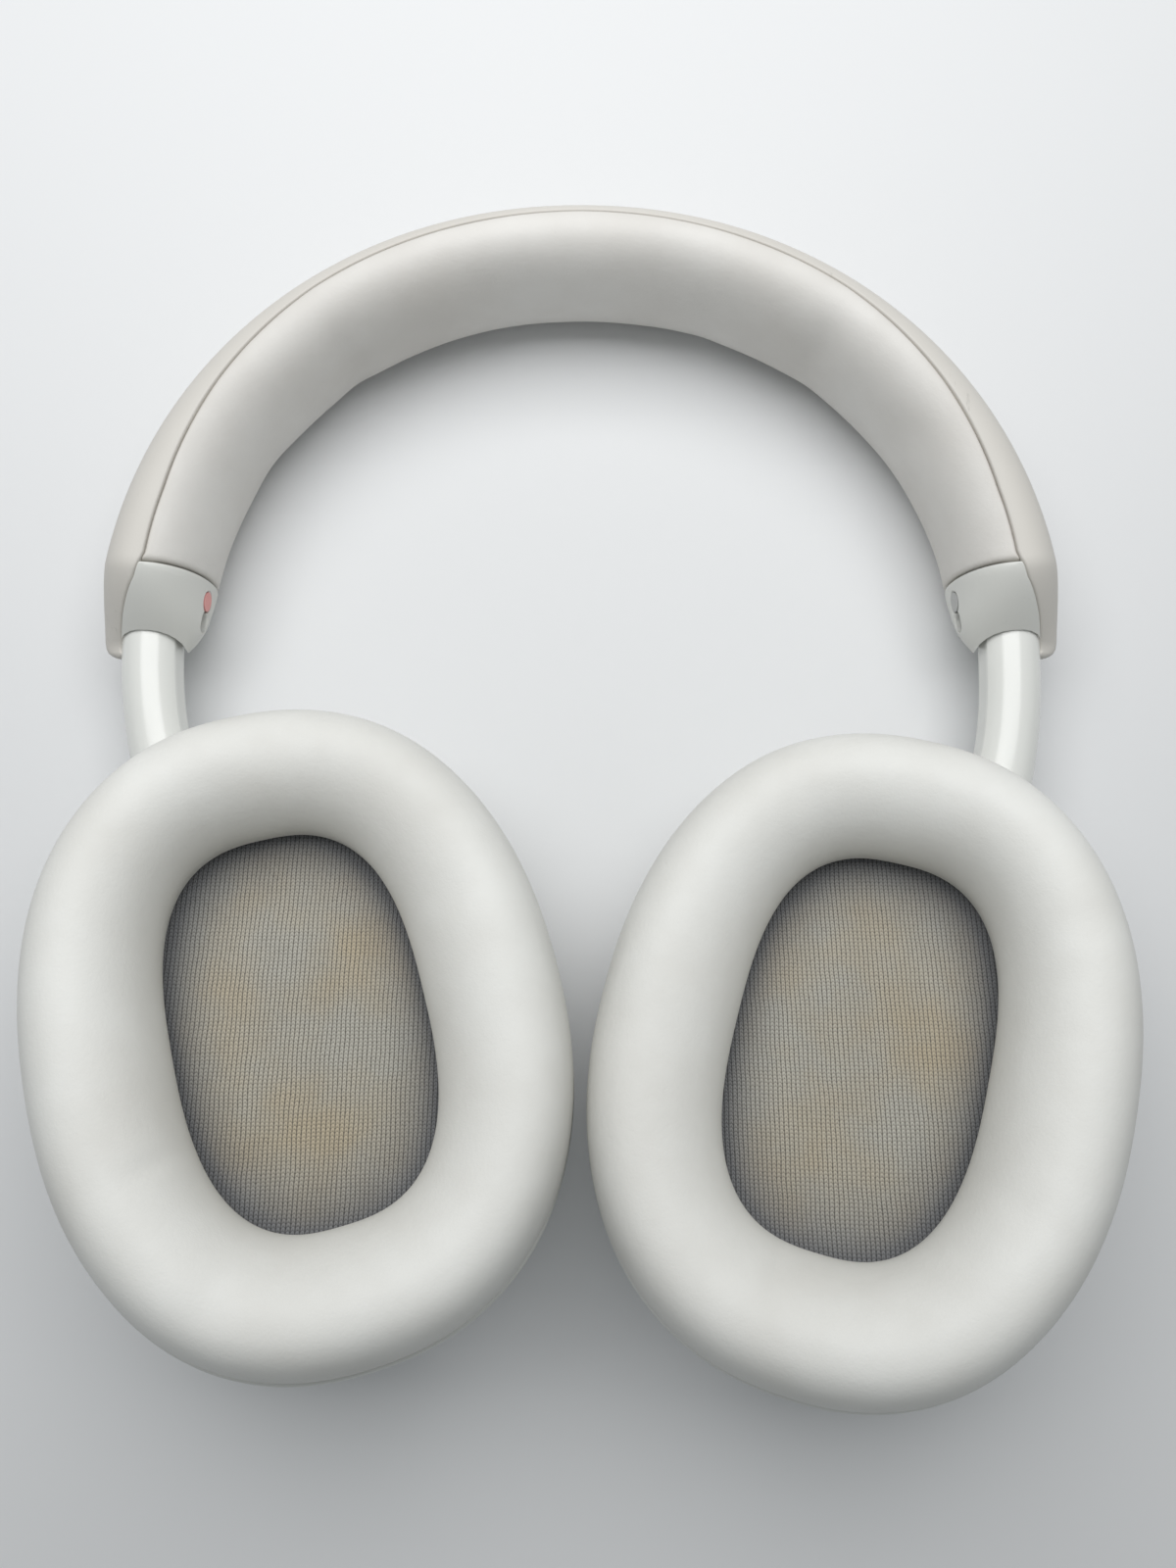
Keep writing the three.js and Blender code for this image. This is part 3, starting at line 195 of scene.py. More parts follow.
def leatherette(name, light, dark, dark_edge, rough=(0.5, 0.62)):
    """Polyurethane leatherette over foam: a fine pebble grain, a soft drift of tone, and a blotchy darker colour
    by the edges and seams, which on the ear pads is painted shade.
    """
    made, tree, shader, coords = blank(name, Specular_IOR_Level=0.42)
    pebble = add(tree, "ShaderNodeTexVoronoi", {"Vector": coords, "Scale": 1 / (0.75 * MM)},
                 feature="SMOOTH_F1")
    fine = add(tree, "ShaderNodeTexNoise", {"Vector": coords, "Scale": 1 / (0.3 * MM), "Detail": 2.0})
    relief = add(tree, "ShaderNodeMath", {0: pebble.outputs[0], 1: 0.7, 2: fine.outputs[0]},
                 operation="MULTIPLY_ADD")
    drift = add(tree, "ShaderNodeTexNoise", {"Vector": coords, "Scale": 1 / (30 * MM), "Detail": 4.0,
                                             "Roughness": 0.6})
    tone = add(tree, "ShaderNodeMapRange", {"Value": drift.outputs[0], "From Min": 0.35, "From Max": 0.68})
    base = add(tree, "ShaderNodeMix", {"Factor": tone.outputs[0], 6: linear(light), 7: linear(dark)},
               data_type="RGBA")
    # The piece's edge mask, stored as a mesh attribute, mixes in the last colour in blotches: painted shade along
    # the ear pads' lower edges, and a darker line along the headband's seams.
    edge_darkening = add(tree, "ShaderNodeAttribute", attribute_name="edge_darkening")
    patch = add(tree, "ShaderNodeTexNoise", {"Vector": coords, "Scale": 1 / (5 * MM), "Detail": 5.0})
    darkened = add(tree, "ShaderNodeMath", {0: edge_darkening.outputs["Fac"], 1: patch.outputs[0]},
                 operation="MULTIPLY")
    colour = add(tree, "ShaderNodeMix", {"Factor": darkened.outputs[0], 6: base.outputs[2],
                                         7: linear(dark_edge)}, data_type="RGBA")
    dull = add(tree, "ShaderNodeMapRange", {"Value": drift.outputs[0], "From Min": 0.3, "From Max": 0.7,
                                            "To Min": rough[0], "To Max": rough[1]})
    finish_surface(tree, shader, colour.outputs[2], dull.outputs[0], relief.outputs[0], 0.000028)
    return made


WALE_MM = 0.68
COURSE_MM = 0.56


def weft_knit():
    """Weft-knitted polyester: columns of slanted loops with small dark gaps, stained in the middle, with painted
    shade towards the edge.
    """
    made, tree, shader, coords = blank("weft_knit_polyester", Sheen_Weight=0.25, Sheen_Roughness=0.5)
    place = add(tree, "ShaderNodeUVMap", uv_map="cloth")
    wobble = add(tree, "ShaderNodeTexNoise", {"Vector": coords, "Scale": 1 / (6 * MM), "Detail": 2.0})
    parts = add(tree, "ShaderNodeSeparateXYZ", {0: place.outputs[0]})
    shift = add(tree, "ShaderNodeMath", {0: wobble.outputs[0], 1: 0.7}, operation="MULTIPLY")
    across = add(tree, "ShaderNodeMath", {0: parts.outputs[0], 1: 1 / WALE_MM, 2: shift.outputs[0]},
                 operation="MULTIPLY_ADD")
    share = add(tree, "ShaderNodeMath", {0: across.outputs[0]}, operation="FRACT")
    lean = add(tree, "ShaderNodeMath", {0: share.outputs[0], 1: 0.5}, operation="SUBTRACT")
    vee = add(tree, "ShaderNodeMath", {0: lean.outputs[0]}, operation="ABSOLUTE")
    course = add(tree, "ShaderNodeMath", {0: parts.outputs[1], 1: 1 / COURSE_MM, 2: shift.outputs[0]},
                 operation="MULTIPLY_ADD")
    along = add(tree, "ShaderNodeMath", {0: vee.outputs[0], 1: 0.9, 2: course.outputs[0]},
                operation="MULTIPLY_ADD")
    waves = []
    for value, turns in ((across, math.pi), (across, 2 * math.pi), (along, math.pi)):
        angle = add(tree, "ShaderNodeMath", {0: value.outputs[0], 1: turns}, operation="MULTIPLY")
        sine = add(tree, "ShaderNodeMath", {0: angle.outputs[0]}, operation="SINE")
        waves.append(add(tree, "ShaderNodeMath", {0: sine.outputs[0]}, operation="ABSOLUTE").outputs[0])
    column, legs, rows = waves
    leg = add(tree, "ShaderNodeMath", {0: legs, 1: 0.4, 2: 0.6}, operation="MULTIPLY_ADD")
    row = add(tree, "ShaderNodeMath", {0: rows, 1: 0.62, 2: 0.38}, operation="MULTIPLY_ADD")
    ribs = add(tree, "ShaderNodeMath", {0: column, 1: 0.55}, operation="POWER")
    loop = add(tree, "ShaderNodeMath", {0: ribs.outputs[0], 1: row.outputs[0]}, operation="MULTIPLY")
    height = add(tree, "ShaderNodeMath", {0: loop.outputs[0], 1: leg.outputs[0]}, operation="MULTIPLY")
    fuzz = add(tree, "ShaderNodeTexNoise", {"Vector": coords, "Scale": 1 / (0.35 * MM), "Detail": 3.0})
    yarn = add(tree, "ShaderNodeMath", {0: fuzz.outputs[0], 1: 0.45, 2: height.outputs[0]},
               operation="MULTIPLY_ADD")
    stain = add(tree, "ShaderNodeTexNoise", {"Vector": coords, "Scale": 1 / (17 * MM), "Detail": 4.0})
    stained = add(tree, "ShaderNodeMapRange", {"Value": stain.outputs[0], "From Min": 0.38,
                                               "From Max": 0.66})
    # Painted shade: towards the opening's edge the yarn turns grey and its gaps darker, as if shaded by the pad's
    # inner wall.
    rim = add(tree, "ShaderNodeAttribute", attribute_name="edge_darkening")
    middle = add(tree, "ShaderNodeMix", {"Factor": stained.outputs[0], 6: linear("#b6b3a9"),
                                         7: linear("#b9ad96")}, data_type="RGBA")
    lit = add(tree, "ShaderNodeMix", {"Factor": rim.outputs["Fac"], 6: middle.outputs[2],
                                      7: linear("#77787a")}, data_type="RGBA")
    gap = add(tree, "ShaderNodeMix", {"Factor": rim.outputs["Fac"], 6: linear("#57534a"),
                                      7: linear("#323335")}, data_type="RGBA")
    shade = add(tree, "ShaderNodeMapRange", {"Value": yarn.outputs[0], "From Min": 0.25, "From Max": 0.8})
    colour = add(tree, "ShaderNodeMix", {"Factor": shade.outputs[0], 6: gap.outputs[2],
                                         7: lit.outputs[2]}, data_type="RGBA")
    dull = add(tree, "ShaderNodeMapRange", {"Value": yarn.outputs[0], "To Min": 0.95, "To Max": 0.85})
    finish_surface(tree, shader, colour.outputs[2], dull.outputs[0], yarn.outputs[0], 0.00022)
    return made


def machined_metal(name, light, dark, rough=(0.25, 0.4), line_mm=0.25, **inputs):
    """Turned or rolled metal: fine lines along one way, which spread the highlight."""
    made, tree, shader, coords = blank(name, Metallic=1.0, **inputs)
    stretch = add(tree, "ShaderNodeMapping", {"Vector": coords, "Scale": (1.0, 0.08, 1.0)})
    lines = add(tree, "ShaderNodeTexNoise", {"Vector": stretch.outputs[0], "Scale": 1 / (line_mm * MM),
                                             "Detail": 3.0})
    colour = add(tree, "ShaderNodeMix", {"Factor": lines.outputs[0], 6: linear(light), 7: linear(dark)},
                 data_type="RGBA")
    dull = add(tree, "ShaderNodeMapRange", {"Value": lines.outputs[0], "To Min": rough[0],
                                            "To Max": rough[1]})
    finish_surface(tree, shader, colour.outputs[2], dull.outputs[0], lines.outputs[0], 0.000006)
    return made


MATERIALS = {
    # Matte ABS of the ear shells and sleeves: a warm off-white that scatters the light softly.
    "shell_plastic": moulded_plastic("moulded_matte_abs", "#dcddd9", "#d2d2cd", scuff=0.12),
    # Polished polycarbonate of the stems: smoother, so that a bright line runs along them.
    "stem_plastic": moulded_plastic("polished_polycarbonate", "#e4e5e1", "#dddeda", (0.17, 0.25), 0.9,
                                    0.000003, 0.05, Coat_Weight=0.25, Coat_Roughness=0.12),
    # Soft-touch skin of the headband's cover: slightly browner and duller than the cushion.
    "cover_plastic": moulded_plastic("soft_touch_skin", "#d3d0ca", "#cac6bf", (0.55, 0.7), 0.35,
                                     0.00001, 0.5),
    # The pads' last colour is painted shade along their lower edges by the shell.
    "pad_leatherette": leatherette("leatherette_over_foam", "#e2e2de", "#d8d7d2", "#8f8577"),
    # The band's last colour darkens a thin line along the cover's edges and the cushion's ends.
    "band_leatherette": leatherette("leatherette_over_sponge", "#dddbd7", "#d3d0cb", "#a79e8f"),
    "knit_fabric": weft_knit(),
    # Dark glass-filled nylon of the pieces inside: even and dull.
    "inner_plastic": moulded_plastic("glass_filled_nylon", "#3d3e40", "#333436", (0.55, 0.7), 0.5),
    "steel": machined_metal("turned_steel", "#c4c6c8", "#a8aaac"),
    "spring_steel": machined_metal("rolled_spring_steel", "#9a9da2", "#7f8287", (0.3, 0.45), 0.4),
    # Black acetal and cloth mesh of the ports and the microphone covers.
    "black_plastic": moulded_plastic("black_acetal", "#1e1e20", "#141416", (0.45, 0.6), 0.3, 0.00002),
    # Solder mask over glass-epoxy laminate: a glossy green.
    "board": moulded_plastic("solder_mask", "#28563e", "#1f4632", (0.25, 0.35), 0.6, 0.000008),
    "battery_foil": machined_metal("pouch_cell_foil", "#b8bcc0", "#9fa3a8", (0.3, 0.45), 0.8),
    "wire_rubber": moulded_plastic("silicone_wire_skin", "#2c2c2e", "#232325", (0.5, 0.6), 0.3),
    "red_mark": moulded_plastic("pink_tinted_abs", "#e8a5a1", "#dd9793", (0.4, 0.5), 0.4),
    "grey_mark": moulded_plastic("grey_tinted_abs", "#b9bab8", "#abacab", (0.4, 0.5), 0.4),
    # Clear acrylic of the lamp's light pipe.
    "lamp_lens": moulded_plastic("acrylic_light_pipe", "#f4f4f0", "#eeeee8", (0.08, 0.14), 0.8,
                                 0.000002, 0.0, Transmission_Weight=0.5, IOR=1.49),
}
SLOT_OF = {part["node"]: part["material_slot"] for part in frame["record"]["subparts"]}

for node_name, node in frame["nodes"].items():
    node.data.materials.clear()
    node.data.materials.append(MATERIALS[SLOT_OF[node_name]])

# ---- Mesh tools --------------------------------------------------------------------------------


def piece_from(name, points, faces, sharp_degrees=30):
    """A mesh object from points in millimetres, with its faces turned outwards."""
    mesh = bpy.data.meshes.new(name)
    mesh.from_pydata((np.asarray(points, float).reshape(-1, 3) * MM).tolist(), [], faces)
    made = bmesh.new()
    made.from_mesh(mesh)
    bmesh.ops.recalc_face_normals(made, faces=made.faces)
    made.to_mesh(mesh)
    made.free()
    piece = bpy.data.objects.new(name, mesh)
    bpy.context.scene.collection.objects.link(piece)
    smooth(piece, sharp_degrees)
    return piece


def smooth(piece, sharp_degrees):
    piece.data.shade_smooth()
    piece.data.set_sharp_from_angle(angle=math.radians(sharp_degrees))


def loft(name, rings, closed=False, sharp_degrees=30):
    """A closed skin through rings of points; the ends get a fan each unless the path closes."""
    rings = np.asarray(rings, float)
    spans, count = rings.shape[:2]
    points = rings.reshape(-1, 3)
    faces = []
    for i in range(spans if closed else spans - 1):
        here = i * count
        after = ((i + 1) % spans) * count
        for k in range(count):
            n = (k + 1) % count
            faces.append((here + k, here + n, after + n, after + k))
    if not closed:
        for ring, start in ((rings[0], 0), (rings[-1], (spans - 1) * count)):
            middle = len(points)
            points = np.vstack([points, ring.mean(axis=0)])
            faces.extend((start + k, start + (k + 1) % count, middle) for k in range(count))
    return piece_from(name, points, faces, sharp_degrees)


def superellipse(half_x, half_y, power, count, shift=0.0):
    turn = (np.arange(count) + 0.5) * 2 * math.pi / count
    c, s = np.cos(turn), np.sin(turn)
    return np.stack([shift + half_x * np.sign(c) * np.abs(c) ** (2 / power),
                     half_y * np.sign(s) * np.abs(s) ** (2 / power)], axis=1)


def at_height(outline, z):
    return np.column_stack([outline, np.full(len(outline), z)])


def placed(points, matrix):
    """Points moved by a 4 by 4 matrix."""
    points = np.asarray(points, float)
    turn = np.array(matrix)
    return points @ turn[:3, :3].T + turn[:3, 3]


def rolled(distance, radius):
    """How far a rounded edge lies under the surface, at a distance from the edge."""
    run = np.clip(radius - distance, 0, radius)
    return radius - np.sqrt(radius ** 2 - run ** 2)


def carve(piece, cutters, operation="DIFFERENCE", sharp_degrees=30):
    """Cuts the cutters out of the piece, or joins them to it, and removes them."""
    for cutter in cutters:
        change = piece.modifiers.new("carve", "BOOLEAN")
        change.solver = "MANIFOLD"
        change.operation = operation
        change.object = cutter
    bake(piece)
    for cutter in cutters:
        bpy.data.objects.remove(cutter)
    smooth(piece, sharp_degrees)


def bake(piece):
    """Applies the piece's modifiers to its mesh."""
    whole = piece.evaluated_get(bpy.context.evaluated_depsgraph_get())
    mesh = bpy.data.meshes.new_from_object(whole)
    piece.modifiers.clear()
    piece.data = mesh


def stadium(width, height, count=24):
    """Outline of a slot with round ends; width is along its first axis."""
    radius = min(width, height) / 2
    turn = (np.arange(count) + 0.5) * 2 * math.pi / count
    c, s = np.cos(turn), np.sin(turn)
    return np.stack([radius * c + np.sign(c) * (width / 2 - radius),
                     radius * s + np.sign(s) * (height / 2 - radius)], axis=1)


def bar(name, size, levels, matrix):
    """A slot-shaped bar along Y of a frame; each level gives its place along Y and how far it is widened."""
    rings = []
    for y, wider in levels:
        outline = stadium(size[0] + 2 * wider, size[1] + 2 * wider)
        rings.append(np.column_stack([outline[:, 0], np.full(len(outline), y), outline[:, 1]]))
    return loft(name, placed(np.array(rings).reshape(-1, 3), matrix).reshape(len(levels), -1, 3))


def ball(name, radius, centre):
    made = bmesh.new()
    bmesh.ops.create_uvsphere(made, u_segments=72, v_segments=36, radius=radius)
    points = np.array([v.co for v in made.verts]) + centre
    faces = [[v.index for v in f.verts] for f in made.faces]
    made.free()
    return piece_from(name, points, faces)


def store(piece, name, values):
    """Writes one number for each point of the piece as a mesh attribute."""
    attribute = piece.data.attributes.new(name, "FLOAT", "POINT")
    attribute.data.foreach_set("value", np.asarray(values, np.float32))


def dress(piece, body, *nodes):
    """The piece takes the material of the CAD nodes that it stands for, and moves with their body."""
    slot = SLOT_OF[nodes[0]]
    piece.data.materials.clear()
    piece.data.materials.append(MATERIALS[slot])
    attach(piece, body)
    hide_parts(*nodes)
    return piece


# ---- Places, from the frame --------------------------------------------------------------------

JOINTS = {joint["name"]: joint for joint in frame["joints"]}
cover_low, cover_high = (np.array(corner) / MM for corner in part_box("headband_cover"))
cushion_low, cushion_high = (np.array(corner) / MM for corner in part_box("headband_cushion"))
# Middle of the arch's base line.
ORIGIN = np.array([
    (cover_low[0] + cover_high[0]) / 2,
    cover_high[1] - ARCH_RISE - BAND_THICKNESS_CROWN / 2,
    (cushion_low[2] + cushion_high[2]) / 2,
])
STEM_END = ARCH_HALF_SPAN * np.array([
    math.cos(math.radians(STEM_END_ANGLE)), -math.sin(math.radians(STEM_END_ANGLE)), 0])
SWIVEL_DOWN = np.array([
    -math.sin(math.radians(SWIVEL_LEAN)), -math.cos(math.radians(SWIVEL_LEAN)), 0])
PIVOT = STEM_END + SWIVEL_DOWN * (BALL_RADIUS + BALL_GAP)


def side_place(name):
    """Puts what is built for a left arm, from the arch's base line, on the side of that name."""
    pivot = np.array(JOINTS[name + "_cup_swivel"]["pos_m"]) / MM
    side = 1 if name == "left" else -1
    drop = pivot[1] - PIVOT[1]
    return Matrix.Translation((ORIGIN[0], drop, ORIGIN[2])) @ Matrix.Diagonal((side, 1, 1, 1))


def sleeve_place(name):
    side = 1 if name == "left" else -1
    return Matrix.Translation(ORIGIN) @ Matrix.Diagonal((side, 1, 1, 1))


CUP = (Matrix.Translation(Vector(PIVOT) + Vector(CUP_OFFSET))
       @ Matrix.Rotation(-math.radians(CUP_LEAN), 4, "Z")
       @ Matrix.Rotation(-math.radians(CUP_PITCH), 4, "X")
       @ Matrix.Rotation(-math.radians(CUP_DROOP), 4, "Y"))
PIVOT_IN_CUP = CUP.inverted() @ Vector(PIVOT)
SHAFT_IN_CUP = CUP.inverted().to_3x3() @ Vector(-SWIVEL_DOWN)
HINGE = Matrix.Translation(PIVOT_IN_CUP) @ Matrix.Rotation(math.atan2(-SHAFT_IN_CUP.x, SHAFT_IN_CUP.y), 4, "Z")
GIMBAL = HINGE @ Matrix.Rotation(math.asin(SHAFT_IN_CUP.z), 4, "X")

# ---- Headband ----------------------------------------------------------------------------------


def arch_point(degrees):
    """Centre of the band at polar angles from +X."""
    turn = np.radians(degrees)
    c, s = np.cos(turn), np.sin(turn)
    radius = (np.abs(c / ARCH_HALF_SPAN) ** ARCH_SQUARENESS
              + np.abs(s / ARCH_RISE) ** ARCH_SQUARENESS) ** (-1 / ARCH_SQUARENESS)
    return np.stack([radius * c, radius * s], axis=-1)


def arch_angle(height):
    """Polar angle at which the band's centre is that far above the arch's base line."""
    low, high = -20.0, 90.0
    for _ in range(40):
        middle = (low + high) / 2
        low, high = (middle, high) if arch_point(middle)[1] < height else (low, middle)
    return low


SLEEVE_BOTTOM_ANGLE = arch_angle(SLEEVE_BOTTOM)


def section(degrees, turn, inset):
    """A point of the band: polar angle, turn round the section from the outer face, depth under the skin."""
    step = 0.05
    centre = arch_point(degrees)
    along = arch_point(degrees + step) - arch_point(degrees - step)
    along /= np.linalg.norm(along, axis=-1, keepdims=True)
    outward = np.stack([along[..., 1], -along[..., 0]], axis=-1)
    crown = np.abs(np.sin(np.radians(degrees)))
    half = (BAND_THICKNESS + (BAND_THICKNESS_CROWN - BAND_THICKNESS) * crown) / 2
    side = np.maximum(np.minimum(degrees, 180 - degrees), SLEEVE_BOTTOM_ANGLE)
    above = np.maximum(arch_point(side)[..., 1] - SLEEVE_BOTTOM, 0)
    loss = (1 - np.clip(above / SLEEVE_END_LENGTH, 0, 1)) ** 2.6
    fall = (1 - np.clip(above / SLEEVE_FACE_LENGTH, 0, 1)) ** 1.35
    outer = half - rolled(above, SLEEVE_TIP_RADIUS)
    c, s = np.cos(np.radians(turn)), np.sin(np.radians(turn))
    inner = half + BAND_BULGE - SLEEVE_END_INNER_LOSS * loss
    up = np.maximum(BAND_HALF_WIDTH - SLEEVE_FACE_LOSS * fall, SLEEVE_TIP_HALF_WIDTH)
    power = 2 / BAND_ROUNDNESS
    out = np.sign(c) * (np.where(c > 0, outer, inner) - inset) * np.abs(c) ** power
    z = np.sign(s) * (up - inset) * np.abs(s) ** power
    flat = centre + outward * out[..., None]
    return np.concatenate([flat, z[..., None]], axis=-1)


def cover_turn(degrees):
    """Half angle of the section that the cover wraps."""
    return np.interp(np.minimum(degrees, 180 - degrees), *COVER_REACH)


def seam_angle(turn, height):
    """Polar angle, for each turn, at which the band's skin is at a height above the base line."""
    low = np.full(turn.shape, -12.0)
    high = np.full(turn.shape, 60.0)
    for _ in range(40):
        middle = (low + high) / 2
        under = section(middle, turn, np.zeros_like(turn))[..., 1] < height
        low, high = np.where(under, middle, low), np.where(under, high, middle)
    return low


# Degrees of turn from a seam at which the skin gets a row of points, close together at its rounded edge.
EDGE_TURNS = np.array([0, 0.7, 1.5, 2.6, 4, 6, 9])
MM_PER_TURN = 0.2


def skin_turns(degrees, count_open, count_covered):
    """Turns round a section that follow the cover's edges, and their distances in mm from the edge."""
    half = cover_turn(degrees)[:, None]
    spread = 360 - 2 * half
    middle = np.linspace(0, 1, count_open)[None, :]
    inner = half + EDGE_TURNS[-1] + 2 + (spread - 2 * EDGE_TURNS[-1] - 4) * middle
    open_turns = np.concatenate([half + EDGE_TURNS, inner, 360 - half - EDGE_TURNS[::-1]], axis=1)
    covered = -half + 2 * half * (np.arange(1, count_covered + 1) / (count_covered + 1))[None, :]
    turns = np.concatenate([open_turns, covered + 360], axis=1)
    from_edge = np.minimum(open_turns - half, 360 - half - open_turns) * MM_PER_TURN
    depth = -np.minimum(covered + half, half - covered) * MM_PER_TURN
    return turns, np.concatenate([from_edge, depth], axis=1)


def skin_inset(distance, roll):
    """Depth of the skin by its distance from the cover's edge: rounded outside, deep under the cover."""
    under = roll + np.clip(-distance, 0, 1) * (COVER_WALL + COVER_ROOM - roll)
    return np.where(distance >= 0, rolled(np.maximum(distance, 0), roll), under)


# Soft dents of the cushion: polar angle, turn, half widths in degrees and depth in mm.
CUSHION_DENTS = ((52, 168, 2.6, 46, 0.55), (128, 190, 2.8, 46, 0.6), (147, 215, 4.5, 26, 0.35),
                 (33, 150, 4.0, 24, 0.3), (70, 200, 3.0, 40, 0.22), (104, 165, 3.0, 40, 0.2))


def headband_cushion():
    ends = np.array([0, 0.0004, 0.001, 0.002, 0.0035, 0.0055, 0.008])
    share = np.concatenate([ends, np.linspace(0.012, 0.988, 230), 1 - ends[::-1]])
    rough_start = arch_angle(SLEEVE_TOP + SEAM)
    degrees = rough_start + (180 - 2 * rough_start) * share
    turns, distance = skin_turns(degrees, 76, 22)
    start = seam_angle(turns, SLEEVE_TOP + SEAM)
    polar = start + (180 - 2 * start) * share[:, None]
    from_end = np.minimum(share, 1 - share)[:, None] * 215
    inset = skin_inset(distance, 0.8) + rolled(from_end, 0.9)
    for angle, turn, wide, tall, depth in CUSHION_DENTS:
        inset += depth * np.exp(-((polar - angle) / wide) ** 2 - ((turns % 360 - turn) / tall) ** 2)
    points = section(polar, turns, inset)
    flat = points.reshape(-1, 3)
    # Foam under the skin is never quite even.
    swell = np.array([noise.noise(Vector(p) / 13) for p in flat]) * 0.22
    fade = np.clip(distance.reshape(-1) / 3, 0, 1) * np.clip(np.broadcast_to(from_end, distance.shape).reshape(-1) / 4, 0, 1)
    inset -= (swell * fade).reshape(inset.shape)
    points = section(polar, turns, inset)
    piece = loft("headband_cushion_skin", placed(points.reshape(-1, 3), Matrix.Translation(ORIGIN))
                 .reshape(points.shape))
    # Darker tone within about a millimetre of the cover's edges and of the cushion's ends.
    edge_darkening = np.exp(-np.maximum(distance, 0) / 0.9) * 0.5 + np.exp(-from_end / 0.8) * 0.5
    store(piece, "edge_darkening", np.concatenate([edge_darkening.reshape(-1), np.zeros(2)]))
    dress(piece, "headband", "headband_cushion")


def headband_cover():
    tip = np.array([0, 0.12, 0.35, 0.7, 1.2, 1.9])
    first = SLEEVE_BOTTOM_ANGLE
    degrees = np.concatenate([first + tip, np.linspace(first + 2.8, 180 - first - 2.8, 210),
                              180 - first - tip[::-1]])
    from_tip = np.minimum(degrees - first, 180 - first - degrees) * ARCH_HALF_SPAN * math.pi / 180
    drawn_in = rolled(from_tip, 1.3)[:, None]
    half = cover_turn(degrees)[:, None] - EDGE_TURNS[1] - drawn_in / MM_PER_TURN * 0.6
    across = np.concatenate([-1 + EDGE_TURNS / 90, np.linspace(-0.87, 0.87, 60), 1 - EDGE_TURNS[::-1] / 90])
    turns = half * across[None, :]
    from_edge = (half - np.abs(turns)) * MM_PER_TURN
    top = section(degrees[:, None] + 0 * turns, turns, rolled(from_edge, 0.5) + drawn_in * 0.5)
    under = section(degrees[:, None] + 0 * turns, turns, COVER_WALL + 0 * turns)[:, ::-1]
    points = np.concatenate([top, under], axis=1)
    piece = loft("headband_cover_skin", placed(points.reshape(-1, 3), Matrix.Translation(ORIGIN))
                 .reshape(points.shape), sharp_degrees=50)
    dress(piece, "headband", "headband_cover")


def inner_face(height, depth):
    """Frame on a sleeve's inner face: Y points away from the arch, Z up."""
    angle = arch_angle(height)
    place = section(np.array([angle]), np.array([180.0]), np.array([depth]))[0]
    step = section(np.array([angle]), np.array([180.0]), np.array([depth - 1]))[0]
    inward = Vector(step - place).normalized()
    up = Vector((0, 0, 1))
    turn = Matrix((inward.cross(up), inward, up)).transposed().to_4x4()
    return Matrix.Translation(place) @ turn


STOP_GAP = 0.3


def stop_room(name):
    """Box-shaped room that lets the stem's stop plate come down into the sleeve."""
    low, high = (np.array(corner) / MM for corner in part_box(name + "_stem_stop"))
    low -= STOP_GAP
    high += STOP_GAP
    low[1] -= JOINTS[name + "_arm_slide"]["range_m"][1] / MM
    rings = [[(low[0], y, low[2]), (high[0], y, low[2]), (high[0], y, high[2]), (low[0], y, high[2])]
             for y in (low[1], high[1])]
    return loft("stop_room", rings)


def sleeve(name):
    share = np.concatenate([[0, 0.01, 0.03, 0.06], np.linspace(0.1, 0.93, 44), [0.955, 0.975, 0.99, 1]])
    rough = SLEEVE_BOTTOM_ANGLE + (arch_angle(SLEEVE_TOP) - SLEEVE_BOTTOM_ANGLE) * share
    turns, distance = skin_turns(rough, 64, 22)
    top = seam_angle(turns, SLEEVE_TOP)
    polar = SLEEVE_BOTTOM_ANGLE + (top - SLEEVE_BOTTOM_ANGLE) * share[:, None]
    from_top = (1 - share)[:, None] * (SLEEVE_TOP - SLEEVE_BOTTOM)
    from_bottom = share[:, None] * (SLEEVE_TOP - SLEEVE_BOTTOM)
    inset = skin_inset(distance, 0.35) + rolled(from_top, 0.35) + rolled(from_bottom, 0.6)
    place = sleeve_place(name)
    points = section(polar, turns, inset)
    piece = loft(name + "_sleeve_housing", placed(points.reshape(-1, 3), place).reshape(points.shape))
    middle = Matrix.Translation((ARCH_HALF_SPAN + (MOUTH_OUT - MOUTH_IN) / 2, 0, 0))
    channel = Matrix.Translation((ARCH_HALF_SPAN, 0, 0))
    mouth = (MOUTH_IN + MOUTH_OUT, 2 * MOUTH_OUT)
    cutters = [
        bar("mouth_cutter", mouth, ((-8, 0), (MOUTH_TOP - 0.4, 0), (MOUTH_TOP, -0.4)), place @ middle),
        bar("channel_cutter", (2 * STEM_RADIUS + 0.6,) * 2, ((-8, 0), (40, 0)), place @ channel),
        bar("mark_cutter", (2 * MARK_RADIUS,) * 2, ((0, 0), (0.55, 0), (0.95, 0.4), (3, 0.4)),
            place @ inner_face(MARK_HEIGHT, 0.8)),
        bar("screw_cutter", (3.6, 2.8), ((-0.5, 0), (0.9, 0), (1.5, 0.5), (4, 0.5)),
            place @ inner_face(SCREW_HEIGHT, 1.2)),
        stop_room(name),
    ]
    carve(piece, cutters)
    dress(piece, "headband", name + "_sleeve")


# ---- Stem --------------------------------------------------------------------------------------


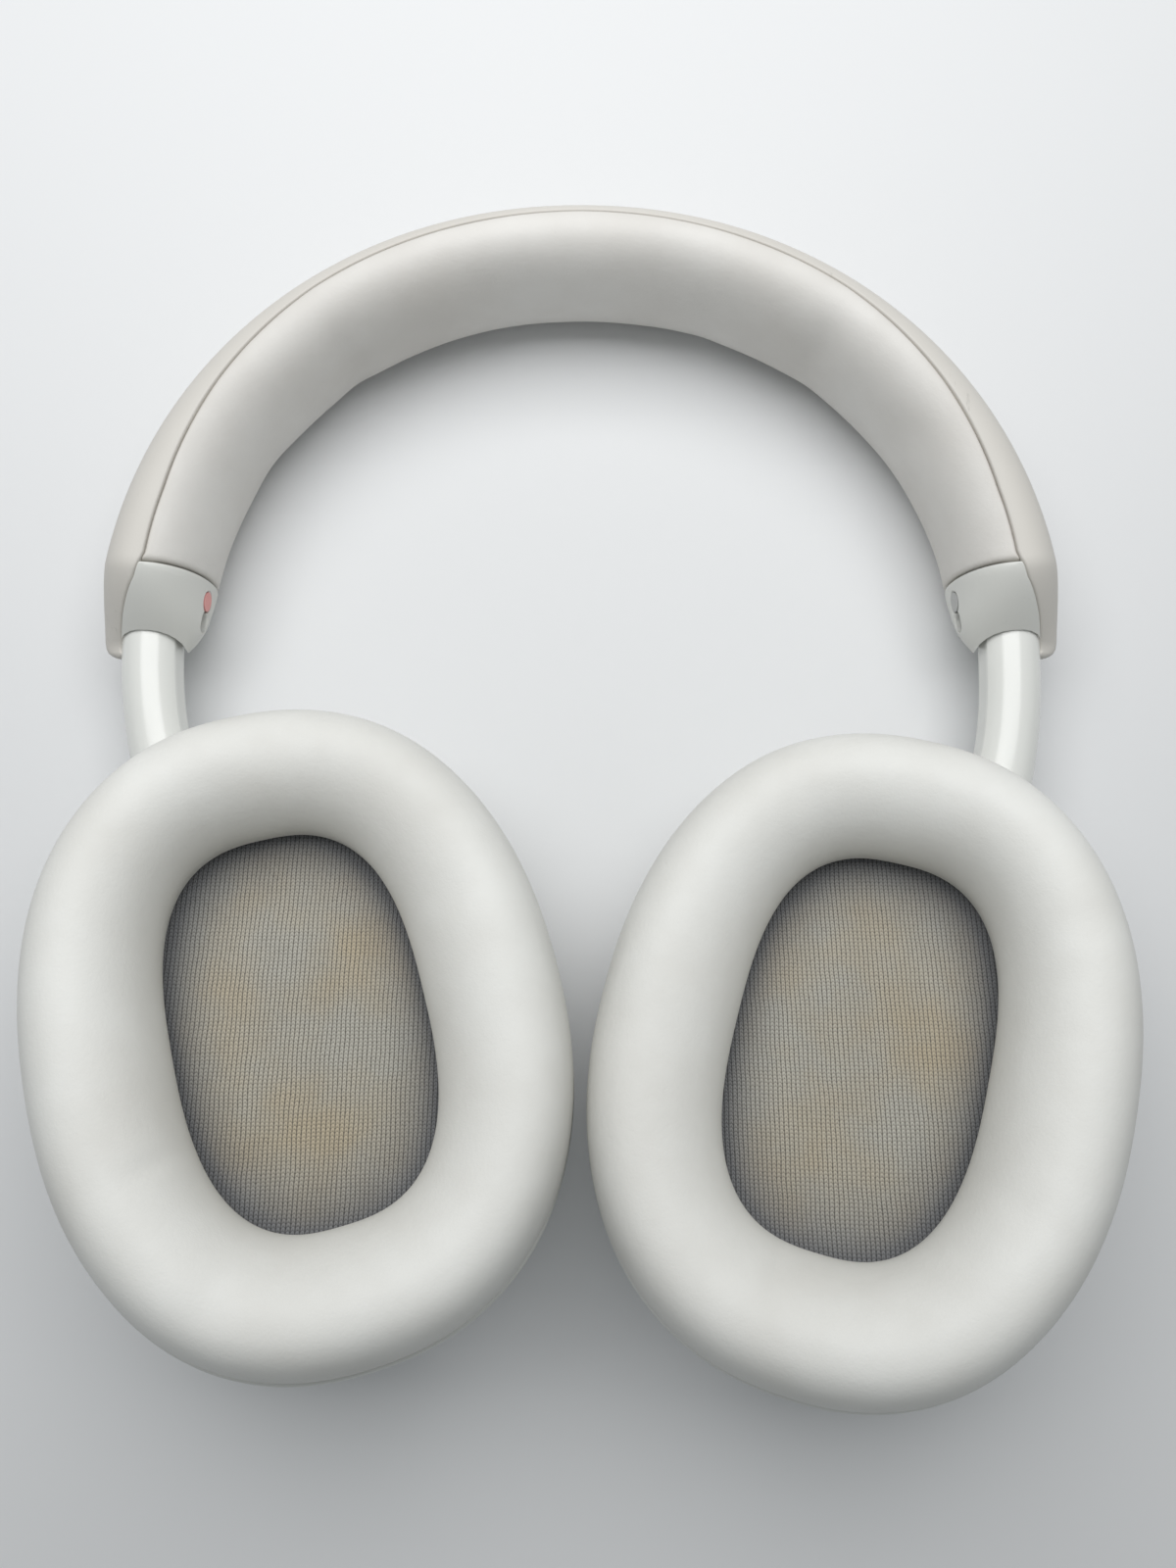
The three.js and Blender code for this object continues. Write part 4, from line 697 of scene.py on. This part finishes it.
def stem(name):
    """A round rod with a flat on its inner side: straight where it slides, then bent round the arch."""
    count = 72
    turn = (np.arange(count) + 0.5) * 2 * math.pi / count
    rings = []
    for y in np.linspace(STEM_TOP, 0, 30):
        out = np.maximum(STEM_RADIUS * np.cos(turn), -STEM_FLAT)
        limit = np.sqrt(RELIEF_RADIUS ** 2 - y ** 2) + 0.6 - ARCH_HALF_SPAN if y > 4 else STEM_RADIUS
        out = np.minimum(out, limit)
        rings.append(np.column_stack([ARCH_HALF_SPAN + out, np.full(count, y), STEM_RADIUS * np.sin(turn)]))
    for degrees in np.linspace(0, STEM_END_ANGLE + 3, 30)[1:]:
        flare = 0.5 * max(degrees - 9, 0) / STEM_END_ANGLE
        out = np.maximum((STEM_RADIUS + flare) * np.cos(turn), -STEM_FLAT - flare)
        c, s = math.cos(math.radians(degrees)), math.sin(math.radians(degrees))
        radius = ARCH_HALF_SPAN + out
        rings.append(np.column_stack([radius * c, -radius * s, STEM_RADIUS * np.sin(turn)]))
    rings = np.array(rings)
    place = side_place(name)
    piece = loft(name + "_stem_rod", placed(rings.reshape(-1, 3), place).reshape(rings.shape), sharp_degrees=16)
    centre = placed(PIVOT[None, :], place)[0]
    carve(piece, [ball("cup_cutter", BALL_RADIUS + BALL_GAP, centre)], sharp_degrees=16)
    dress(piece, name + "_arm", name + "_stem")


# ---- Ear cup -----------------------------------------------------------------------------------


def cup_place(name, shift=0.0):
    return side_place(name) @ CUP @ Matrix.Translation((shift, 0, 0))


def dome(name, inset, depth, top, levels, place):
    """The ear shell's dome: the outline scaled by each level, at the depth that the level gives."""
    count = 192
    rings = [at_height(superellipse(SHELL_HALF[0] - inset - RIM_INSET, SHELL_HALF[1] - inset - RIM_INSET,
                                    CUP_ROUNDNESS, count), top)]
    outline = superellipse(SHELL_HALF[0] - inset, SHELL_HALF[1] - inset, CUP_ROUNDNESS, count)
    # The rim turns over in a quarter round.
    for turn in np.radians(np.linspace(15, 75, 5)):
        drawn = RIM_INSET * (1 - math.sin(turn))
        ring = superellipse(SHELL_HALF[0] - inset - drawn, SHELL_HALF[1] - inset - drawn, CUP_ROUNDNESS, count)
        rings.append(at_height(ring, top - RIM_HEIGHT * (1 - math.cos(turn))))
    for level in levels:
        z = -depth * (1 - level ** SHELL_DOME_POWER) ** (1 / SHELL_DOME_POWER) - RIM_HEIGHT
        rings.append(at_height(outline * level, z))
    rings = np.array(rings)
    return loft(name, placed(rings.reshape(-1, 3), place).reshape(rings.shape))


def wall_place(turn, z):
    """Frame on the shell's side wall: X along the wall, Y outwards, Z up."""
    depth = max(-z - RIM_HEIGHT, 0) / (SHELL_DEPTH - RIM_HEIGHT)
    scale = (1 - depth ** SHELL_DOME_POWER) ** (1 / SHELL_DOME_POWER)
    c, s = math.cos(math.radians(turn)), math.sin(math.radians(turn))
    a, b = SHELL_HALF
    p = CUP_ROUNDNESS
    radius = scale * (abs(c / a) ** p + abs(s / b) ** p) ** (-1 / p)
    point = Vector((radius * c, radius * s, z))
    outward = Vector((math.copysign(abs(point.x / a) ** (p - 1) / a, c),
                      math.copysign(abs(point.y / b) ** (p - 1) / b, s), 0)).normalized()
    up = Vector((0, 0, 1))
    turned = Matrix((outward.cross(up), outward, up)).transposed().to_4x4()
    return Matrix.Translation(point) @ turned


def ear_shell(name):
    place = cup_place(name, CUP_SHIFT * 0.5)
    hinge = side_place(name) @ CUP @ HINGE
    gimbal = side_place(name) @ CUP @ GIMBAL
    pivot = np.array(hinge.translation)
    depth = SHELL_DEPTH - RIM_HEIGHT
    levels = np.sin(np.radians(np.linspace(90, 3, 44))) ** 0.8
    piece = dome(name + "_ear_shell_skin", 0, depth, 0, levels, place)
    hollow = dome("hollow", SHELL_WALL, depth - SHELL_WALL, 1, levels[::2], place)
    carve(piece, [hollow])
    top = -BAFFLE_WALL - 0.3 - PIVOT_IN_CUP.z
    housing = ball("housing", BALL_RADIUS, pivot)
    keep = bar("keep", (40, 40), ((-1, 0), (23, 0)), hinge @ Matrix.Translation((0, 0, top - 20)))
    carve(housing, [keep], "INTERSECT")
    carve(piece, [housing], "UNION")
    swings = [gimbal @ Matrix.Rotation(math.radians(tilt), 4, "X")
              for tilt in (TILT_OUT, -TILT_IN / 3, -2 * TILT_IN / 3, -TILT_IN)]
    clearance = STEM_RADIUS + SWING_GAP
    sockets = [bar("socket", (2 * clearance,) * 2, ((7, 0), (30, 0)), swing) for swing in swings]
    carve(sockets[0], sockets[1:], "UNION")
    carve(sockets[0], [ball("kept_ball", BALL_RADIUS, pivot)])
    slots = [bar("slot", (SHAFT_NECK + SWING_GAP,) * 2, ((5, 0), (14, 0)), swing) for swing in swings]
    cutters = [sockets[0], ball("ball_room", BALL_RADIUS - BALL_WALL, pivot), *slots]
    holes = LEFT_HOLES if name == "left" else RIGHT_HOLES
    for size, turn, z in holes:
        cutters.append(bar("hole", size, ((-5, 0), (-0.35, 0), (0.15, 0.45), (4, 0.45)),
                           place @ wall_place(turn, z)))
    carve(piece, cutters)
    dress(piece, name + "_cup", name + "_ear_shell")


# The ear pad's section from the shell's rim over the top to the opening: share of the way, share of height.
PAD_SECTION = np.array([
    [0.03, 0.05], [0.0, 0.14], [0.0, 0.3], [0.03, 0.5], [0.085, 0.7], [0.17, 0.86], [0.29, 0.965],
    [0.43, 1.0], [0.58, 0.975], [0.73, 0.89], [0.86, 0.745], [0.955, 0.56], [1.0, 0.38], [0.985, 0.22],
    [0.92, 0.1], [0.5, 0.05],
])
# Soft folds of the pads, by side: direction from the centre, half width in degrees, depth in mm and the
# share of the section where the fold is deepest.
PAD_FOLDS = {
    "right": ((-28, 3.0, 0.5, 0.8), (-62, 5.0, 0.35, 0.5), (96, 7.0, 0.4, 0.45), (160, 6.0, 0.25, 0.7)),
    "left": ((-98, 3.0, 0.45, 0.85), (38, 5.0, 0.3, 0.4), (-30, 6.0, 0.3, 0.7), (118, 5.0, 0.25, 0.6)),
}


def smooth_loop(points, per_span):
    """Points of a closed Catmull-Rom curve through the given ones."""
    made = []
    for i in range(len(points)):
        a, b, c, d = (points[(i + k) % len(points)] for k in (-1, 0, 1, 2))
        for t in np.arange(per_span) / per_span:
            made.append(0.5 * (2 * b + (c - a) * t + (2 * a - 5 * b + 4 * c - d) * t ** 2
                               + (3 * b - 3 * c + d - a) * t ** 3))
    return np.array(made)


def ear_pad(name):
    count = 240
    outer = superellipse(*PAD_HALF, CUP_ROUNDNESS, count)
    opening = superellipse(*OPENING_HALF, OPENING_ROUNDNESS, count, OPENING_SHIFT)
    profile = smooth_loop(PAD_SECTION, 5)
    around = np.degrees(np.arctan2(outer[:, 1], outer[:, 0]))
    rings = []
    edge_darkening = []
    for share, height in profile:
        flat = outer + (opening - outer) * share
        fold = np.zeros(count)
        for turn, wide, depth, at in PAD_FOLDS[name]:
            away = (around - turn + 180) % 360 - 180
            fold += depth * np.exp(-(away / wide) ** 2) * math.exp(-((share - at) / 0.22) ** 2)
        lift = height ** 0.5
        z = np.full(count, height * PAD_HEIGHT) - fold * lift
        ring = np.column_stack([flat, z])
        swell = np.array([noise.noise(Vector(p) / 16) for p in ring]) * 0.3 * lift
        ring[:, 2] += swell
        rings.append(ring)
        # Painted shade along the pad's lower edge by the shell, deepest on the pad's -Y side, away from the light.
        dark_edge = math.exp(-max(height - 0.1, 0) / 0.12) * (0.35 + 0.65 * np.clip(-outer[:, 1] / 49, 0, 1))
        edge_darkening.append(dark_edge * (share < 0.3))
    rings = np.array(rings)
    place = cup_place(name, CUP_SHIFT)
    piece = loft(name + "_ear_pad_skin", placed(rings.reshape(-1, 3), place).reshape(rings.shape), closed=True)
    store(piece, "edge_darkening", np.array(edge_darkening).reshape(-1))
    dress(piece, name + "_cup", name + "_ear_pad")


def driver_cloth(name):
    """Knit cloth stretched over the loudspeaker: a thin sheet, a little domed over the driver."""
    half = (OPENING_HALF[0] + CLOTH_MARGIN, OPENING_HALF[1] + CLOTH_MARGIN)
    edge = superellipse(*half, OPENING_ROUNDNESS, 160, OPENING_SHIFT)
    place = cup_place(name, CUP_SHIFT)
    levels = np.concatenate([np.linspace(0.02, 1, 48)])
    rings = []
    for z_shift, order in ((CLOTH_WALL, levels), (0.0, levels[::-1])):
        for level in order:
            flat = edge * level + np.array([OPENING_SHIFT * (1 - level), 0])
            radius = np.hypot(flat[:, 0], flat[:, 1])
            bulge = CLOTH_BULGE * np.exp(-(radius / 19) ** 4)
            rings.append(np.column_stack([flat, CLOTH_HEIGHT + z_shift + bulge]))
    rings = np.array(rings)
    world = placed(rings.reshape(-1, 3), place)
    piece = loft(name + "_driver_cloth", world.reshape(rings.shape), sharp_degrees=60)
    # The wales run along the headphones, so the cloth's own map is measured along X and Y.
    points = np.array([v.co for v in piece.data.vertices]) / MM
    uv = piece.data.uv_layers.new(name="cloth")
    loops = np.array([loop.vertex_index for loop in piece.data.loops])
    uv.data.foreach_set("uv", points[loops, :2].astype(np.float32).reshape(-1))
    # Painted shade: the cloth's mask rises towards the opening's edge, under the pad's inner wall.
    local = placed(points, place.inverted())
    rim = ((np.abs((local[:, 0] - OPENING_SHIFT) / OPENING_HALF[0])) ** 2.4
           + np.abs(local[:, 1] / OPENING_HALF[1]) ** 2.4)
    store(piece, "edge_darkening", np.clip((rim - 0.25) / 0.75, 0, 1) ** 1.3)
    dress(piece, name + "_cup", name + "_driver_cover")


headband_cushion()
headband_cover()
for side_name in ("left", "right"):
    sleeve(side_name)
    stem(side_name)
    ear_shell(side_name)
    ear_pad(side_name)
    driver_cloth(side_name)

# ---- Floor, light and camera -------------------------------------------------------------------


def area_light(name, size, energy, place, target, colour="#ffffff"):
    lamp = bpy.data.lights.new(name, "AREA")
    lamp.shape = "RECTANGLE"
    lamp.size, lamp.size_y = size
    lamp.energy = energy
    lamp.color = linear(colour)[:3]
    holder = bpy.data.objects.new(name, lamp)
    holder.location = place
    holder.rotation_euler = (Vector(target) - Vector(place)).to_track_quat("-Z", "Y").to_euler()
    bpy.context.scene.collection.objects.link(holder)


floor_mesh = bpy.data.meshes.new("floor")
FLOOR_HALF = 2.5
floor_mesh.from_pydata([(x * FLOOR_HALF, y * FLOOR_HALF, 0) for x, y in ((-1, -1), (1, -1), (1, 1), (-1, 1))],
                       [], [(0, 1, 2, 3)])
floor = bpy.data.objects.new("floor", floor_mesh)
bpy.context.scene.collection.objects.link(floor)
floor_paint, _, floor_shader, _ = blank("pale_studio_floor", Roughness=0.85)
floor_shader.inputs["Base Color"].default_value = linear("#e0e1e2")
floor_mesh.materials.append(floor_paint)

world = bpy.data.worlds.new("soft_room")
world.use_nodes = True
room = world.node_tree.nodes["Background"]
room.inputs[0].default_value = linear("#eef3f5")
room.inputs[1].default_value = 0.30
bpy.context.scene.world = world
area_light("window", (0.5, 0.35), 2.1, (-0.02, 0.22, 0.40), (-0.02, 0.20, 0))
bpy.context.scene.view_settings.view_transform = "Standard"

CAMERA_HEIGHT = 0.215
CAMERA_TILT = 5.0
lens = bpy.data.cameras.new("camera")
lens.lens = 27.0
lens.sensor_width = 36.0
lens.clip_start = 0.005
camera = bpy.data.objects.new("camera", lens)
camera.location = (0.0012, ORIGIN[1] * MM - 0.0402, CAMERA_HEIGHT)
camera.rotation_euler = (math.radians(CAMERA_TILT), 0, 0)
bpy.context.scene.collection.objects.link(camera)
bpy.context.scene.camera = camera

bpy.context.view_layer.update()
